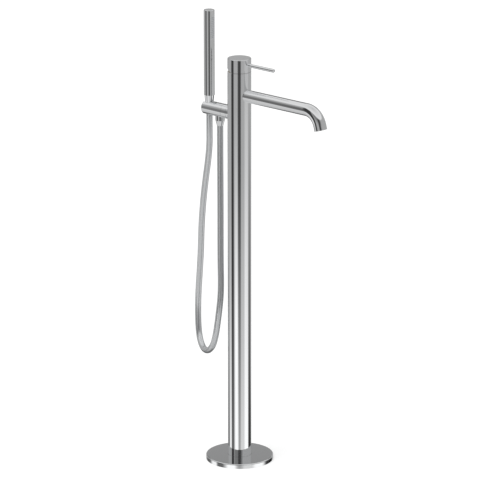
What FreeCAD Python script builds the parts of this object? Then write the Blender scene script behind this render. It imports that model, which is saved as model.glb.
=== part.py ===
"""Floor standing bath filler: column mixer with spout, pin lever, holder arm, hose and stick handset.

Frame: origin on the floor at the column's axis, +Z up, +X along the spout.  The holder arm points
along -X and everything but the hose lies on the plane Y = 0.  Lengths are millimetres.
"""
import FreeCAD, Part
import math
import os
import re

import Sketcher
from FreeCAD import Placement, Rotation, Vector

# Driving dimensions: name, value, what it is.
NOZZLE_COLUMNS = 3
NOZZLE_ROWS = 12
JET_RINGS = 3

SIZES = (
    ("anchor_dia", 130, "floor anchor plate, across"),
    ("anchor_thick", 4, "floor anchor plate, thickness"),
    ("pipe_opening_gap", 1, "opening in the plate and the foot round the supply unions"),
    ("floor_bolt_circle", 104, "circle of the four floor screws"),
    ("floor_bolt_hole", 6.5, "clearance hole of a floor screw"),
    ("foot_flange_dia", 84, "flange of the column's foot, across"),
    ("foot_flange_thick", 4.4, "flange of the column's foot, thickness"),
    ("foot_spigot_height", 24, "spigot of the foot inside the column"),
    ("foot_web_thick", 5, "web at the top of the spigot that guides the tails"),
    ("foot_screw_circle", 68, "circle of the four screws from foot to plate"),
    ("foot_screw_dia", 5, "screw from foot to plate"),
    ("foot_screw_head", 9, "countersunk head of that screw, across"),
    ("foot_screw_head_depth", 2.2, "countersink depth of that head"),
    ("cover_dia", 150, "base cover, across"),
    ("cover_wall", 1.6, "base cover, sheet thickness"),
    ("cover_round", 2, "rounded upper edge of the base cover"),
    ("slip_gap", 0.2, "gap of a piece that slips over another"),
    ("column_dia", 52, "column and cap, across"),
    ("column_wall", 2, "column tube, wall"),
    ("column_top", 890, "upper end of the column above the floor"),
    ("inlet_pitch", 20, "hot tail to cold tail, centre to centre"),
    ("tail_dia", 12, "supply tail, across"),
    ("tail_wall", 1, "supply tail, wall"),
    ("union_flats", 18, "supply union, across its flats"),
    ("union_lift", 5, "underside of the unions above the floor"),
    ("union_thread_dia", 15, "threaded bore of a supply union, across"),
    ("union_thread_depth", 12, "threaded bore of a supply union, depth"),
    ("union_collar", 4, "collar of a supply union round its tail"),
    ("body_length", 121, "brass body inside the column, length"),
    ("tail_socket_depth", 12, "socket in the brass body for a tail"),
    ("inlet_bore", 8, "inlet passage in the brass body, across"),
    ("mixed_bore", 9, "mixed water passage in the brass body, across"),
    ("mixed_bore_offset", 9, "mixed water passage from the column's axis"),
    ("body_rim_drop", 1, "rim of the brass body below the column's upper end"),
    ("pivot_rise", 0.4, "lever's pivot above the column's upper end"),
    ("cartridge_dia", 35, "ceramic cartridge, across"),
    ("cartridge_gap", 0.1, "cartridge to its bore, each side"),
    ("cartridge_seat_drop", 28.4, "cartridge's seat below the pivot"),
    ("cartridge_shoulder", 22, "cartridge's shoulder above its seat"),
    ("cartridge_height", 34, "cartridge, height over all"),
    ("cartridge_collar_dia", 28.4, "upper collar of the cartridge, across"),
    ("cartridge_wall", 2, "wall of the cartridge's housing"),
    ("base_rim", 3.5, "rim of the cartridge's base"),
    ("base_spigot", 2, "spigot of the cartridge's base"),
    ("seal_thick", 1.6, "cord of the inlet seals under the cartridge"),
    ("disc_thick", 3, "ceramic disc, thickness"),
    ("disc_film", 0.02, "water film between the two ceramic discs"),
    ("upper_disc_dia", 22, "moving ceramic disc and its carrier, across"),
    ("carrier_height", 5.5, "carrier on the moving disc"),
    ("turret_dia", 24, "turning turret of the cartridge, across"),
    ("turret_gap", 0.3, "turret to its collar, each side"),
    ("turret_above", 5.6, "turret's top above the pivot"),
    ("turret_below", 10, "turret's underside below the pivot"),
    ("turret_flange", 2, "flange at the turret's foot"),
    ("turret_slot", 18, "slot across the turret for the stem, length"),
    ("stem_square", 8, "square stem, across its flats"),
    ("stem_gap", 0.3, "stem to the turret's slot, each side"),
    ("stem_below", 8, "square part of the stem below the pivot"),
    ("stem_above", 22, "square part of the stem above the pivot"),
    ("stem_tail_dia", 4, "round tail under the square stem, across"),
    ("ball_drop", 13.4, "ball of the stem below the pivot"),
    ("ball_dia", 6, "ball of the stem, across"),
    ("ball_gap", 0.4, "ball to the carrier's hole, each side"),
    ("pin_dia", 3, "pivot pin of the stem, across"),
    ("pin_gap", 0.05, "pivot pin to the stem's hole, each side"),
    ("nut_dia", 40, "ring nut over the cartridge, across"),
    ("nut_height", 6, "ring nut over the cartridge, height"),
    ("dome_dia", 44.4, "domed neck cover, across"),
    ("dome_wall", 1.5, "domed neck cover, wall"),
    ("dome_rise", 12.4, "domed neck cover above the pivot"),
    ("cap_gap", 0.6, "gap between the column and the cap at the front"),
    ("cap_bevel", 22, "bevel under the rear half of the cap, in degrees"),
    ("cap_top", 920, "top of the cap above the floor"),
    ("cap_wall", 2.5, "cap, side wall"),
    ("cap_roof", 5, "cap, thickness of its top"),
    ("cap_round", 1.5, "rounded upper edge of the cap"),
    ("hub_dia", 18, "hub inside the cap, across"),
    ("hub_rise", 11.4, "underside of the hub above the pivot"),
    ("lever_dia", 8, "pin lever, across"),
    ("lever_reach", 103, "tip of the lever from the column's axis"),
    ("lever_rise", 17.2, "lever's axis above the pivot"),
    ("grub_dia", 5, "set screw in the cap's hub, across"),
    ("plug_dia", 6, "plug over the set screw, across"),
    ("spout_dia", 28, "spout tube, across"),
    ("spout_wall", 1.5, "spout tube, wall"),
    ("spout_level", 838.5, "spout's axis above the floor"),
    ("spout_reach", 236.5, "centre of the spout's mouth from the column's axis"),
    ("spout_bend_radius", 39, "bend of the spout, on its axis"),
    ("spout_bend_angle", 74, "turn of that bend, in degrees"),
    ("spout_tip_spare", 0.5, "straight end of the spout behind the aerator"),
    ("port_seat", 20, "seats of the spout and the arm in the body, from the axis"),
    ("port_thread_dia", 20, "threads of the nipple and the stub in the body, across"),
    ("port_thread_depth", 6, "length of those threads"),
    ("nipple_length", 30, "spout nipple beyond its seat"),
    ("nipple_bore", 12, "bore of the spout nipple"),
    ("seal_groove", 2.4, "width of an O-ring groove"),
    ("seal_depth", 1.6, "depth of an O-ring groove"),
    ("aerator_length", 9.5, "aerator's housing, length"),
    ("aerator_wall", 1.6, "aerator's housing, wall"),
    ("aerator_recess", 1, "aerator behind the spout's end"),
    ("jet_dia", 1.8, "hole in the aerator's screen, across"),
    ("jet_pitch", 3, "ring to ring of the aerator's holes"),
    ("arm_dia", 31, "holder arm and its rings, across"),
    ("arm_level", 793.7, "holder arm's axis above the floor"),
    ("arm_reach", 100.6, "outer end of the holder arm from the column's axis"),
    ("arm_round", 1, "rounded outer edge of the holder arm"),
    ("arm_seam", 43.3, "seam between the diverter ring and the arm, from the axis"),
    ("ring_gap", 0.3, "running gap at each end of the diverter ring"),
    ("root_collar_reach", 28, "outer face of the coped root collar, from the axis"),
    ("stub_dia", 22, "fixed stub that carries the arm, across"),
    ("stub_bore", 12, "bore of the stub and of the arm"),
    ("stub_clear", 1, "outer end of the stub to the thread of the hose outlet"),
    ("stub_port_dia", 4, "side ports of the stub, across"),
    ("stub_wall", 2.4, "closed wall between the stub's two bores"),
    ("stub_port_gap", 0.3, "side port of the stub to its closed wall"),
    ("arm_seal", 1.5, "cord of the seals on the stub"),
    ("arm_seal_inset", 1, "seals on the stub from the faces they sit beside"),
    ("shutter_wall", 1.95, "shutter inside the diverter ring, wall"),
    ("shutter_gap", 0.05, "shutter to the stub, each side"),
    ("outlet_offset", 57.4, "hose outlet from the column's axis"),
    ("outlet_dia", 21, "hose outlet boss, across"),
    ("outlet_drop", 23, "underside of the outlet boss below the arm's axis"),
    ("outlet_thread_dia", 16, "thread of the outlet boss in the arm, across"),
    ("outlet_thread_top", 7.7, "top of that thread below the arm's axis"),
    ("outlet_spigot_dia", 14, "spigot of the outlet boss for the hose nut, across"),
    ("outlet_spigot_length", 6.2, "length of that spigot"),
    ("valve_dia", 11, "check valve in the outlet boss, across"),
    ("valve_length", 10, "check valve in the outlet boss, length"),
    ("lower_nut_length", 11.4, "conical nut at the hose's outlet end"),
    ("lower_nut_top_dia", 20.6, "its wide end, across"),
    ("hose_dia", 14, "hose, across"),
    ("hose_first_run", 67, "straight run of the hose under its outlet nut"),
    ("hose_last_run", 32, "straight run of the hose under its upper nut"),
    ("hose_bore", 9, "bore of the nuts at the hose's ends"),
    ("nut_land", 0.3, "rim of a hose nut round the hose"),
    ("washer_thick", 1, "rubber washer in a hose nut"),
    ("handset_offset", 89.3, "handset's axis from the column's axis"),
    ("handset_bottom", 822.7, "underside of the handset above the floor"),
    ("handset_length", 190.6, "handset, length"),
    ("handset_dia", 24, "handset, across"),
    ("handset_wall", 2.8, "handset, wall"),
    ("handset_roof", 3.5, "handset, closed upper end"),
    ("handset_round", 1.5, "rounded upper edge of the handset"),
    ("face_offset", 9.7, "flat spray face from the handset's axis"),
    ("face_top_drop", 11, "upper end of the spray face below the handset's top"),
    ("face_end", 3, "spray face beyond its plate, at each end"),
    ("runout_radius", 110, "radius of the run-out under the spray face"),
    ("plate_thick", 2, "spray plate, thickness"),
    ("plate_side", 1.1, "spray plate beside its outer nozzles"),
    ("plate_end", 2.1, "spray plate beyond its end nozzles"),
    ("nozzle_dia", 1.8, "spray nozzle, across"),
    ("nozzle_rise", 0.7, "spray nozzle proud of its plate"),
    ("nozzle_pitch", 4, "nozzle to nozzle"),
    ("spigot_dia", 16, "spigot of the handset in the hose nut, across"),
    ("spigot_gap", 0.05, "that spigot to the nut, each side"),
    ("spigot_length", 11, "length of that spigot under the handset"),
    ("spigot_plug", 12, "part of the spigot screwed into the handset"),
    ("waterway_dia", 14, "water tube inside the handset, across"),
    ("waterway_wall", 1.5, "water tube inside the handset, wall"),
    ("waterway_window", 6, "window of the water tube behind the spray plate, width"),
    ("plate_edge", 3, "ends of the spray plate beyond that window"),
    ("upper_nut_gap", 0.3, "handset to its hose nut"),
    ("upper_nut_length", 39.4, "conical hose nut in the holder"),
    ("upper_nut_top_dia", 21.5, "its wide end, across"),
    ("cone_gap", 0.25, "hose nut to the holder's conical bore"),
    ("holder_slot", 15.4, "slot in the holder's outer end for the hose, width"),
)

# Places and radii that follow from the driving dimensions.
PLACES = (
    ("column_radius", "column_dia / 2"),
    ("column_bore", "column_radius - column_wall"),
    ("pipe_opening_dia", "inlet_pitch + union_flats + 2 * pipe_opening_gap"),
    ("foot_top", "anchor_thick + foot_flange_thick"),
    ("cover_height", "foot_top + cover_wall"),
    ("spigot_top", "foot_top + foot_spigot_height"),
    ("inlet_offset", "inlet_pitch / 2"),
    ("union_shoulder", "union_lift + union_thread_depth"),
    ("body_rim", "column_top - body_rim_drop"),
    ("body_bottom", "body_rim - body_length"),
    ("pivot", "column_top + pivot_rise"),
    ("seat", "pivot - cartridge_seat_drop"),
    ("shoulder", "seat + cartridge_shoulder"),
    ("cartridge_radius", "cartridge_dia / 2"),
    ("housing_bore", "cartridge_radius - cartridge_wall"),
    ("housing_foot", "seat + base_rim"),
    ("disc_foot", "housing_foot + base_spigot"),
    ("sliding_level", "disc_foot + disc_thick + disc_film"),
    ("carrier_foot", "sliding_level + disc_thick"),
    ("turret_foot", "pivot - turret_below"),
    ("turret_top", "pivot + turret_above"),
    ("turret_bore", "turret_dia / 2 + turret_gap"),
    ("housing_ledge", "turret_foot + turret_flange + turret_gap"),
    ("nut_top", "shoulder + nut_height"),
    ("cap_foot", "column_top + cap_gap"),
    ("cap_bore", "column_radius - cap_wall"),
    ("cap_ceiling", "cap_top - cap_roof"),
    ("lever_level", "pivot + lever_rise"),
    ("half_stem", "stem_square / 2"),
    ("spout_radius", "spout_dia / 2"),
    ("spout_bore", "spout_radius - spout_wall"),
    ("spout_tip", "aerator_recess + aerator_length + spout_tip_spare"),
    (
        "mouth_level",
        "spout_level - spout_bend_radius * (1 - cos(spout_bend_angle)) - spout_tip * sin(spout_bend_angle)",
    ),
    (
        "bend_start",
        "spout_reach - spout_bend_radius * sin(spout_bend_angle) - spout_tip * cos(spout_bend_angle)",
    ),
    ("thread_end", "port_seat - port_thread_depth"),
    ("nipple_end", "port_seat + nipple_length"),
    ("arm_radius", "arm_dia / 2"),
    ("stub_end", "outlet_offset - outlet_thread_dia / 2 - stub_clear"),
    ("ring_root", "root_collar_reach + ring_gap"),
    ("ring_tip", "arm_seam - ring_gap"),
    ("shutter_radius", "stub_dia / 2 + shutter_gap + shutter_wall"),
    ("ring_middle", "(ring_root + ring_tip) / 2"),
    ("outlet_level", "arm_level - outlet_drop"),
    ("outlet_thread_level", "arm_level - outlet_thread_top"),
    ("arm_underside", "arm_level - arm_radius"),
    ("lower_nut_top", "outlet_level - slip_gap"),
    ("lower_nut_foot", "lower_nut_top - lower_nut_length"),
    ("outlet_spigot_foot", "outlet_level - outlet_spigot_length"),
    ("nut_end_radius", "hose_dia / 2 + nut_land"),
    ("handset_top", "handset_bottom + handset_length"),
    ("handset_bore", "handset_dia / 2 - handset_wall"),
    ("handset_ceiling", "handset_top - handset_roof"),
    ("face_top", "handset_top - face_top_drop"),
    ("plate_width", f"{NOZZLE_COLUMNS - 1} * nozzle_pitch + nozzle_dia + 2 * plate_side"),
    ("plate_length", f"{NOZZLE_ROWS - 1} * nozzle_pitch + nozzle_dia + 2 * plate_end"),
    ("face_length", "plate_length + 2 * face_end"),
    ("face_foot", "face_top - face_length"),
    ("face_plane", "face_offset - handset_offset"),
    ("plate_foot", "(face_top + face_foot - plate_length) / 2"),
    ("spigot_foot", "handset_bottom - spigot_length"),
    ("plug_top", "handset_bottom + spigot_plug"),
    ("upper_nut_top", "handset_bottom - upper_nut_gap"),
    ("upper_nut_foot", "upper_nut_top - upper_nut_length"),
    ("cone_slope", "(upper_nut_top_dia / 2 - nut_end_radius) / upper_nut_length"),
)

# Route of the hose's centre line between its two upright ends, as corners of straight runs.
HOSE_ROUTE = (
    (-52.5, -4.5, 576), (-48.8, -9, 461), (-42.2, -14, 389), (-41.6, -20.8, 343),
    (-54, -22.4, 264), (-85.4, -9.5, 233), (-120, 7.7, 229), (-151.2, 27.2, 255),
    (-156.5, 31.7, 333), (-141.5, 23, 410), (-132.4, 17, 463), (-124.7, 11, 524),
    (-111.6, 6, 602), (-92.1, 3, 696),
)
CORNER_SHARE = 0.45

doc = FreeCAD.newDocument("bath_filler")


def make_sheet(name, rows):
    """Add a spreadsheet with one named cell for each row."""
    sheet = doc.addObject("Spreadsheet::Sheet", name)
    for line, (alias, content, *meaning) in enumerate(rows, 1):
        sheet.set(f"A{line}", alias)
        sheet.set(f"B{line}", str(content))
        sheet.setAlias(f"B{line}", alias)
        if meaning:
            sheet.set(f"C{line}", meaning[0])
    doc.recompute()
    return sheet


SHEET_OF = {alias: "sizes" for alias, *_ in SIZES}
SHEET_OF.update({alias: "places" for alias, _ in PLACES})


def formula(text):
    """Write each named value in a formula with the sheet that holds it."""
    def with_sheet(match):
        word = match.group(0)
        return f"{SHEET_OF[word]}.{word}" if word in SHEET_OF else word
    return re.sub(r"[a-z_]+", with_sheet, text)


sizes = make_sheet("sizes", SIZES)
places = make_sheet("places", [(alias, "=" + formula(text)) for alias, text in PLACES])
pieces = []


def place(thing, at, turn=None):
    """Bind a thing's place to three formulas and turn it by a fixed rotation."""
    thing.Placement = Placement(Vector(), turn or Rotation())
    for axis, text in zip("xyz", at):
        thing.setExpression(f".Placement.Base.{axis}", formula(text))
    return thing


ALONG = {
    "x": Rotation(Vector(0, 1, 0), 90),
    "y": Rotation(Vector(1, 0, 0), -90),
    "z": Rotation(),
}
ORIGIN = ("0", "0", "0")


def rod(label, radius, length, at, along="z"):
    """Make a round rod that starts at a place and runs along an axis."""
    thing = doc.addObject("Part::Cylinder", label)
    thing.setExpression("Radius", formula(radius))
    thing.setExpression("Height", formula(length))
    return place(thing, at, ALONG[along])


def block(label, low, size):
    """Make a box from its lowest corner and its three sizes."""
    thing = doc.addObject("Part::Box", label)
    for side, text in zip(("Length", "Width", "Height"), size):
        thing.setExpression(side, formula(text))
    return place(thing, low)


def ball(label, radius, at):
    """Make a sphere round a place."""
    thing = doc.addObject("Part::Sphere", label)
    thing.setExpression("Radius", formula(radius))
    return place(thing, at)


def join(label, *parts):
    """Unite several shapes."""
    thing = doc.addObject("Part::MultiFuse", label)
    thing.Shapes = list(parts)
    return thing


def cut(label, base, *tools):
    """Take one or more shapes out of another."""
    thing = doc.addObject("Part::Cut", label)
    thing.Base = base
    thing.Tool = tools[0] if len(tools) == 1 else join(label + "_tools", *tools)
    return thing


def common(label, base, tool):
    """Keep what two shapes share."""
    thing = doc.addObject("Part::Common", label)
    thing.Base = base
    thing.Tool = tool
    return thing


def outline_point(turn, count):
    """Give a corner of a rough round outline, which the constraints then pull into shape."""
    angle = math.tau * turn / count
    return Vector(30 + 10 * math.cos(angle), 30 + 10 * math.sin(angle), 0)


def turned(label, corners, axis="V_Axis", at=ORIGIN, rounded=None):
    """Turn a closed outline about the upright (V_Axis) or the X (H_Axis) axis.

    Each corner is a pair of formulas, across and up.  rounded is the index of a corner whose
    circle gets a fillet, and that fillet's radius.
    """
    body = doc.addObject("PartDesign::Body", label)
    upright = next(plane for plane in body.Origin.OriginFeatures if plane.Role == "XZ_Plane")
    sketch = body.newObject("Sketcher::SketchObject", label + "_outline")
    sketch.AttachmentSupport = [(upright, "")]
    sketch.MapMode = "FlatFace"
    count = len(corners)
    for turn in range(count):
        sketch.addGeometry(Part.LineSegment(outline_point(turn, count), outline_point(turn + 1, count)))
    for turn in range(count):
        sketch.addConstraint(Sketcher.Constraint("Coincident", turn, 2, (turn + 1) % count, 1))
    for turn, corner in enumerate(corners):
        for kind, text in zip(("DistanceX", "DistanceY"), corner):
            index = sketch.addConstraint(Sketcher.Constraint(kind, turn, 1, 1.0))
            sketch.setExpression(f"Constraints[{index}]", formula(text))
    turning = body.newObject("PartDesign::Revolution", label + "_turning")
    turning.Profile = sketch
    turning.ReferenceAxis = (sketch, [axis])
    turning.Angle = 360
    doc.recompute()
    if rounded:
        corner, radius = rounded
        across, up = sketch.getPoint(corner, 1)[:2]
        along, reach = (up, across) if axis == "V_Axis" else (across, up)
        edge = circle_edge(turning.Shape, along, abs(reach), axis)
        fillet = body.newObject("PartDesign::Fillet", label + "_rounding")
        fillet.Base = (turning, [edge])
        fillet.setExpression("Radius", formula(radius))
    return place(body, at)


def circle_edge(shape, along, radius, axis):
    """Find the name of the circle of a radius at a height along the axis."""
    for number, edge in enumerate(shape.Edges, 1):
        if not isinstance(edge.Curve, Part.Circle):
            continue
        centre = edge.Curve.Center
        height = centre.z if axis == "V_Axis" else centre.x
        if abs(height - along) < 1e-4 and abs(edge.Curve.Radius - radius) < 1e-4:
            return f"Edge{number}"
    raise ValueError("no such circle")


def piece(label, thing):
    """Name a finished sub-part, which names its file too."""
    thing.Label = label
    pieces.append(thing)
    return thing


def tube_outline(inner, outer, low, high):
    """Give the four corners of a plain tube's wall."""
    return [(inner, low), (outer, low), (outer, high), (inner, high)]


def round_pattern(label, tool, circle, count, turn=45):
    """Copy a tool round the upright axis; tool is a function of the label and the place."""
    copies = []
    for number in range(count):
        angle = turn + 360 * number / count
        at = (f"{circle} / 2 * cos({angle})", f"{circle} / 2 * sin({angle})")
        copies.append(tool(f"{label}_{number}", at))
    return copies


# ---------------------------------------------------------------- floor fixing and base


def floor_hole(label, at):
    return rod(label, "floor_bolt_hole / 2", "anchor_thick + 2", (*at, "-1"))


def foot_screw_thread(label, at):
    return rod(label, "foot_screw_dia / 2", "anchor_thick + foot_flange_thick", (*at, "0"))


def foot_screw(label, at):
    shank = foot_screw_thread(label + "_shank", at)
    head = doc.addObject("Part::Cone", label + "_head")
    head.setExpression("Radius1", formula("foot_screw_dia / 2"))
    head.setExpression("Radius2", formula("foot_screw_head / 2"))
    head.setExpression("Height", formula("foot_screw_head_depth"))
    place(head, (*at, "foot_top - foot_screw_head_depth"))
    return join(label, shank, head)


def anchor_plate():
    disc = turned("anchor_disc", tube_outline("pipe_opening_dia / 2", "anchor_dia / 2", "0", "anchor_thick"))
    holes = round_pattern("anchor_floor_hole", floor_hole, "floor_bolt_circle", 4)
    threads = round_pattern("anchor_thread", foot_screw_thread, "foot_screw_circle", 4, 0)
    piece("anchor_plate", cut("anchor_plate_drilled", disc, *holes, *threads))


def column_foot():
    outline = [
        ("pipe_opening_dia / 2", "anchor_thick"), ("foot_flange_dia / 2", "anchor_thick"),
        ("foot_flange_dia / 2", "foot_top"), ("column_bore", "foot_top"),
        ("column_bore", "spigot_top"), ("0", "spigot_top"),
        ("0", "spigot_top - foot_web_thick"), ("pipe_opening_dia / 2", "spigot_top - foot_web_thick"),
    ]
    blank = turned("foot_blank", outline)
    guides = [
        rod(f"foot_guide_{name}", "tail_dia / 2", "foot_spigot_height", ("0", offset, "foot_top + 1"))
        for name, offset in INLETS
    ]
    screws = round_pattern("foot_hole", foot_screw, "foot_screw_circle", 4, 0)
    piece("column_foot", cut("foot_drilled", blank, *guides, *screws))


def foot_screws():
    piece(
        "foot_screws",
        join("foot_screw_set", *round_pattern("foot_screw", foot_screw, "foot_screw_circle", 4, 0)),
    )


def base_cover():
    inner = "cover_dia / 2 - cover_wall"
    hole = "column_radius + slip_gap"
    outline = [
        (inner, "0"), ("cover_dia / 2", "0"), ("cover_dia / 2", "cover_height"),
        (hole, "cover_height"), (hole, "foot_top"), (inner, "foot_top"),
    ]
    piece("base_cover", turned("cover_shell", outline, rounded=(2, "cover_round")))


INLETS = (("hot", "inlet_offset"), ("cold", "-inlet_offset"))


def supply(name, offset):
    """One supply side: the union at the floor and the tail up to the brass body."""
    nut = doc.addObject("Part::Prism", f"{name}_union_hexagon")
    nut.Polygon = 6
    nut.setExpression("Circumradius", formula("union_flats / 2 / cos(30)"))
    nut.setExpression("Height", formula("union_thread_depth + union_collar"))
    place(nut, ("0", offset, "union_lift"))
    thread = rod(
        f"{name}_union_thread",
        "union_thread_dia / 2",
        "union_thread_depth",
        ("0", offset, "union_lift"),
    )
    grip = rod(f"{name}_union_grip", "tail_dia / 2", "union_collar + 1", ("0", offset, "union_shoulder"))
    piece(f"{name}_union", cut(f"{name}_union_bored", nut, thread, grip))
    wall = tube_outline(
        "tail_dia / 2 - tail_wall", "tail_dia / 2", "union_shoulder", "body_bottom + tail_socket_depth"
    )
    piece(f"{name}_tail", turned(f"{name}_tail_tube", wall, at=("0", offset, "0")))


# ---------------------------------------------------------------- column and brass body


def column_tube():
    wall = turned("column_wall_tube", tube_outline("column_bore", "column_radius", "foot_top", "column_top"))
    spout_hole = rod("column_spout_hole", "spout_radius", "column_dia", ("0", "0", "spout_level"), "x")
    arm_hole = rod("column_arm_hole", "stub_dia / 2", "column_dia", ("-column_dia", "0", "arm_level"), "x")
    piece("column_tube", cut("column_drilled", wall, spout_hole, arm_hole))


def valve_body():
    seat_bore = "cartridge_radius + cartridge_gap"
    outline = [
        ("0", "body_bottom"), ("column_bore", "body_bottom"), ("column_bore", "body_rim"),
        ("nut_dia / 2", "body_rim"), ("nut_dia / 2", "shoulder"), (seat_bore, "shoulder"),
        (seat_bore, "seat"), ("0", "seat"),
    ]
    blank = turned("valve_body_blank", outline)
    tools = []
    for name, offset in INLETS:
        tools.append(
            rod(
                f"body_socket_{name}",
                "tail_dia / 2",
                "tail_socket_depth",
                ("0", offset, "body_bottom"),
            )
        )
        tools.append(
            rod(
                f"body_inlet_{name}",
                "inlet_bore / 2",
                "seat - body_bottom + 1",
                ("0", offset, "body_bottom"),
            )
        )
    mixed = "mixed_bore / 2"
    tools.append(rod("body_mixed", mixed, "seat - arm_level + 1", ("mixed_bore_offset", "0", "arm_level")))
    tools.append(rod("body_to_spout", mixed, "column_dia", ("mixed_bore_offset", "0", "spout_level"), "x"))
    reach = "column_dia + mixed_bore_offset"
    tools.append(rod("body_to_arm", mixed, reach, ("-column_dia", "0", "arm_level"), "x"))
    thread = "port_thread_dia / 2"
    tools.append(rod("body_spout_thread", thread, "column_dia", ("thread_end", "0", "spout_level"), "x"))
    tools.append(
        rod("body_spout_seat", "spout_radius", "column_dia", ("port_seat", "0", "spout_level"), "x")
    )
    tools.append(
        rod(
            "body_arm_thread",
            thread,
            "column_dia",
            ("-thread_end - column_dia", "0", "arm_level"),
            "x",
        )
    )
    tools.append(
        rod(
            "body_arm_seat",
            "stub_dia / 2",
            "column_dia",
            ("-port_seat - column_dia", "0", "arm_level"),
            "x",
        )
    )
    piece("valve_body", cut("valve_body_bored", blank, *tools))


# ---------------------------------------------------------------- ceramic cartridge


def cartridge_base():
    outline = [
        ("0", "seat"), ("cartridge_radius", "seat"), ("cartridge_radius", "housing_foot"),
        ("housing_bore", "housing_foot"), ("housing_bore", "disc_foot"), ("0", "disc_foot"),
    ]
    blank = turned("cartridge_base_blank", outline)
    ports = cartridge_ports("cartridge_base", "seat - 1", "base_rim + base_spigot + 2")
    grooves = [
        rod(
            f"cartridge_base_groove_{name}",
            "inlet_bore / 2 + seal_thick",
            "seal_thick",
            ("0", offset, "seat"),
        )
        for name, offset in INLETS
    ]
    piece("cartridge_base", cut("cartridge_base_bored", blank, *ports, *grooves))
    rings = [
        turned(f"inlet_seal_{name}", tube_outline("inlet_bore / 2", "inlet_bore / 2 + seal_thick", "seat",
                                                  "seat + seal_thick"), at=("0", offset, "0"))
        for name, offset in INLETS
    ]
    piece("inlet_seals", join("inlet_seal_pair", *rings))


def cartridge_ports(label, low, height):
    """The two inlet ports and the mixed port through a layer of the cartridge."""
    ports = [
        rod(f"{label}_port_{name}", "inlet_bore / 2", height, ("0", offset, low)) for name, offset in INLETS
    ]
    ports.append(rod(f"{label}_port_mixed", "mixed_bore / 2", height, ("mixed_bore_offset", "0", low)))
    return ports


def ceramic_discs():
    fixed = rod("fixed_disc_blank", "housing_bore", "disc_thick", ("0", "0", "disc_foot"))
    ports = cartridge_ports("fixed_disc", "disc_foot - 1", "disc_thick + 2")
    piece("ceramic_disc_lower", cut("fixed_disc_bored", fixed, *ports))
    moving = rod("moving_disc_blank", "upper_disc_dia / 2", "disc_thick", ("0", "0", "sliding_level"))
    pocket = rod("moving_disc_pocket", "mixed_bore / 2", "disc_thick / 2", ("3", "0", "sliding_level"))
    piece("ceramic_disc_upper", cut("moving_disc_hollowed", moving, pocket))
    carrier = rod("carrier_blank", "upper_disc_dia / 2", "carrier_height", ("0", "0", "carrier_foot"))
    hole = rod("carrier_hole", "ball_dia / 2 + ball_gap", "carrier_height", ("0", "0", "carrier_foot"))
    piece("disc_carrier", cut("carrier_bored", carrier, hole))


def cartridge_housing():
    collar = "cartridge_collar_dia / 2"
    top = "seat + cartridge_height"
    outline = [
        ("housing_bore", "housing_foot"), ("cartridge_radius", "housing_foot"),
        ("cartridge_radius", "shoulder"),
        (collar, "shoulder"), (collar, top), ("turret_bore", top),
        ("turret_bore", "housing_ledge"), ("housing_bore", "housing_ledge"),
    ]
    piece("cartridge_housing", turned("housing_shell", outline))


def cartridge_turret():
    outline = [
        ("0", "turret_foot"), ("housing_bore - turret_gap", "turret_foot"),
        ("housing_bore - turret_gap", "turret_foot + turret_flange"),
        ("turret_dia / 2", "turret_foot + turret_flange"),
        ("turret_dia / 2", "turret_top"), ("0", "turret_top"),
    ]
    blank = turned("turret_blank", outline)
    width = "stem_square + 2 * stem_gap"
    low = ("-turret_slot / 2", "-half_stem - stem_gap", "turret_foot - 1")
    slot = block("turret_slot_tool", low, ("turret_slot", width, "turret_above + turret_below + 2"))
    hole = rod("turret_pin_hole", "pin_dia / 2", "turret_dia", ("0", "-turret_dia / 2", "pivot"), "y")
    piece("cartridge_turret", cut("turret_slotted", blank, slot, hole))
    piece(
        "stem_pin",
        rod("stem_pin_rod", "pin_dia / 2", "turret_dia - 1", ("0", "0.5 - turret_dia / 2", "pivot"), "y"),
    )


def cartridge_nut():
    wall = tube_outline("cartridge_collar_dia / 2 + slip_gap", "nut_dia / 2", "shoulder", "nut_top")
    piece("cartridge_nut", turned("ring_nut", wall))


# ---------------------------------------------------------------- handle


def mixing_stem():
    low = ("-half_stem", "-half_stem", "pivot - stem_below")
    square = block("stem_square_bar", low, ("stem_square", "stem_square", "stem_below + stem_above"))
    tail = rod("stem_tail", "stem_tail_dia / 2", "ball_drop - stem_below", ("0", "0", "pivot - ball_drop"))
    end = ball("stem_ball", "ball_dia / 2", ("0", "0", "pivot - ball_drop"))
    solid = join("stem_joined", square, tail, end)
    hole = rod(
        "stem_pin_hole",
        "pin_dia / 2 + pin_gap",
        "stem_square + 2",
        ("0", "-half_stem - 1", "pivot"),
        "y",
    )
    piece("mixing_stem", cut("stem_drilled", solid, hole))


def dome_cover():
    outer = ball("dome_outer", "dome_dia / 2", ("0", "0", "pivot"))
    inner = ball("dome_inner", "dome_dia / 2 - dome_wall", ("0", "0", "pivot"))
    shell = cut("dome_shell", outer, inner)
    belt = rod("dome_belt", "column_dia", "pivot + dome_rise - body_rim", ("0", "0", "body_rim"))
    piece("dome_cover", common("dome_belted", shell, belt))


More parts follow.
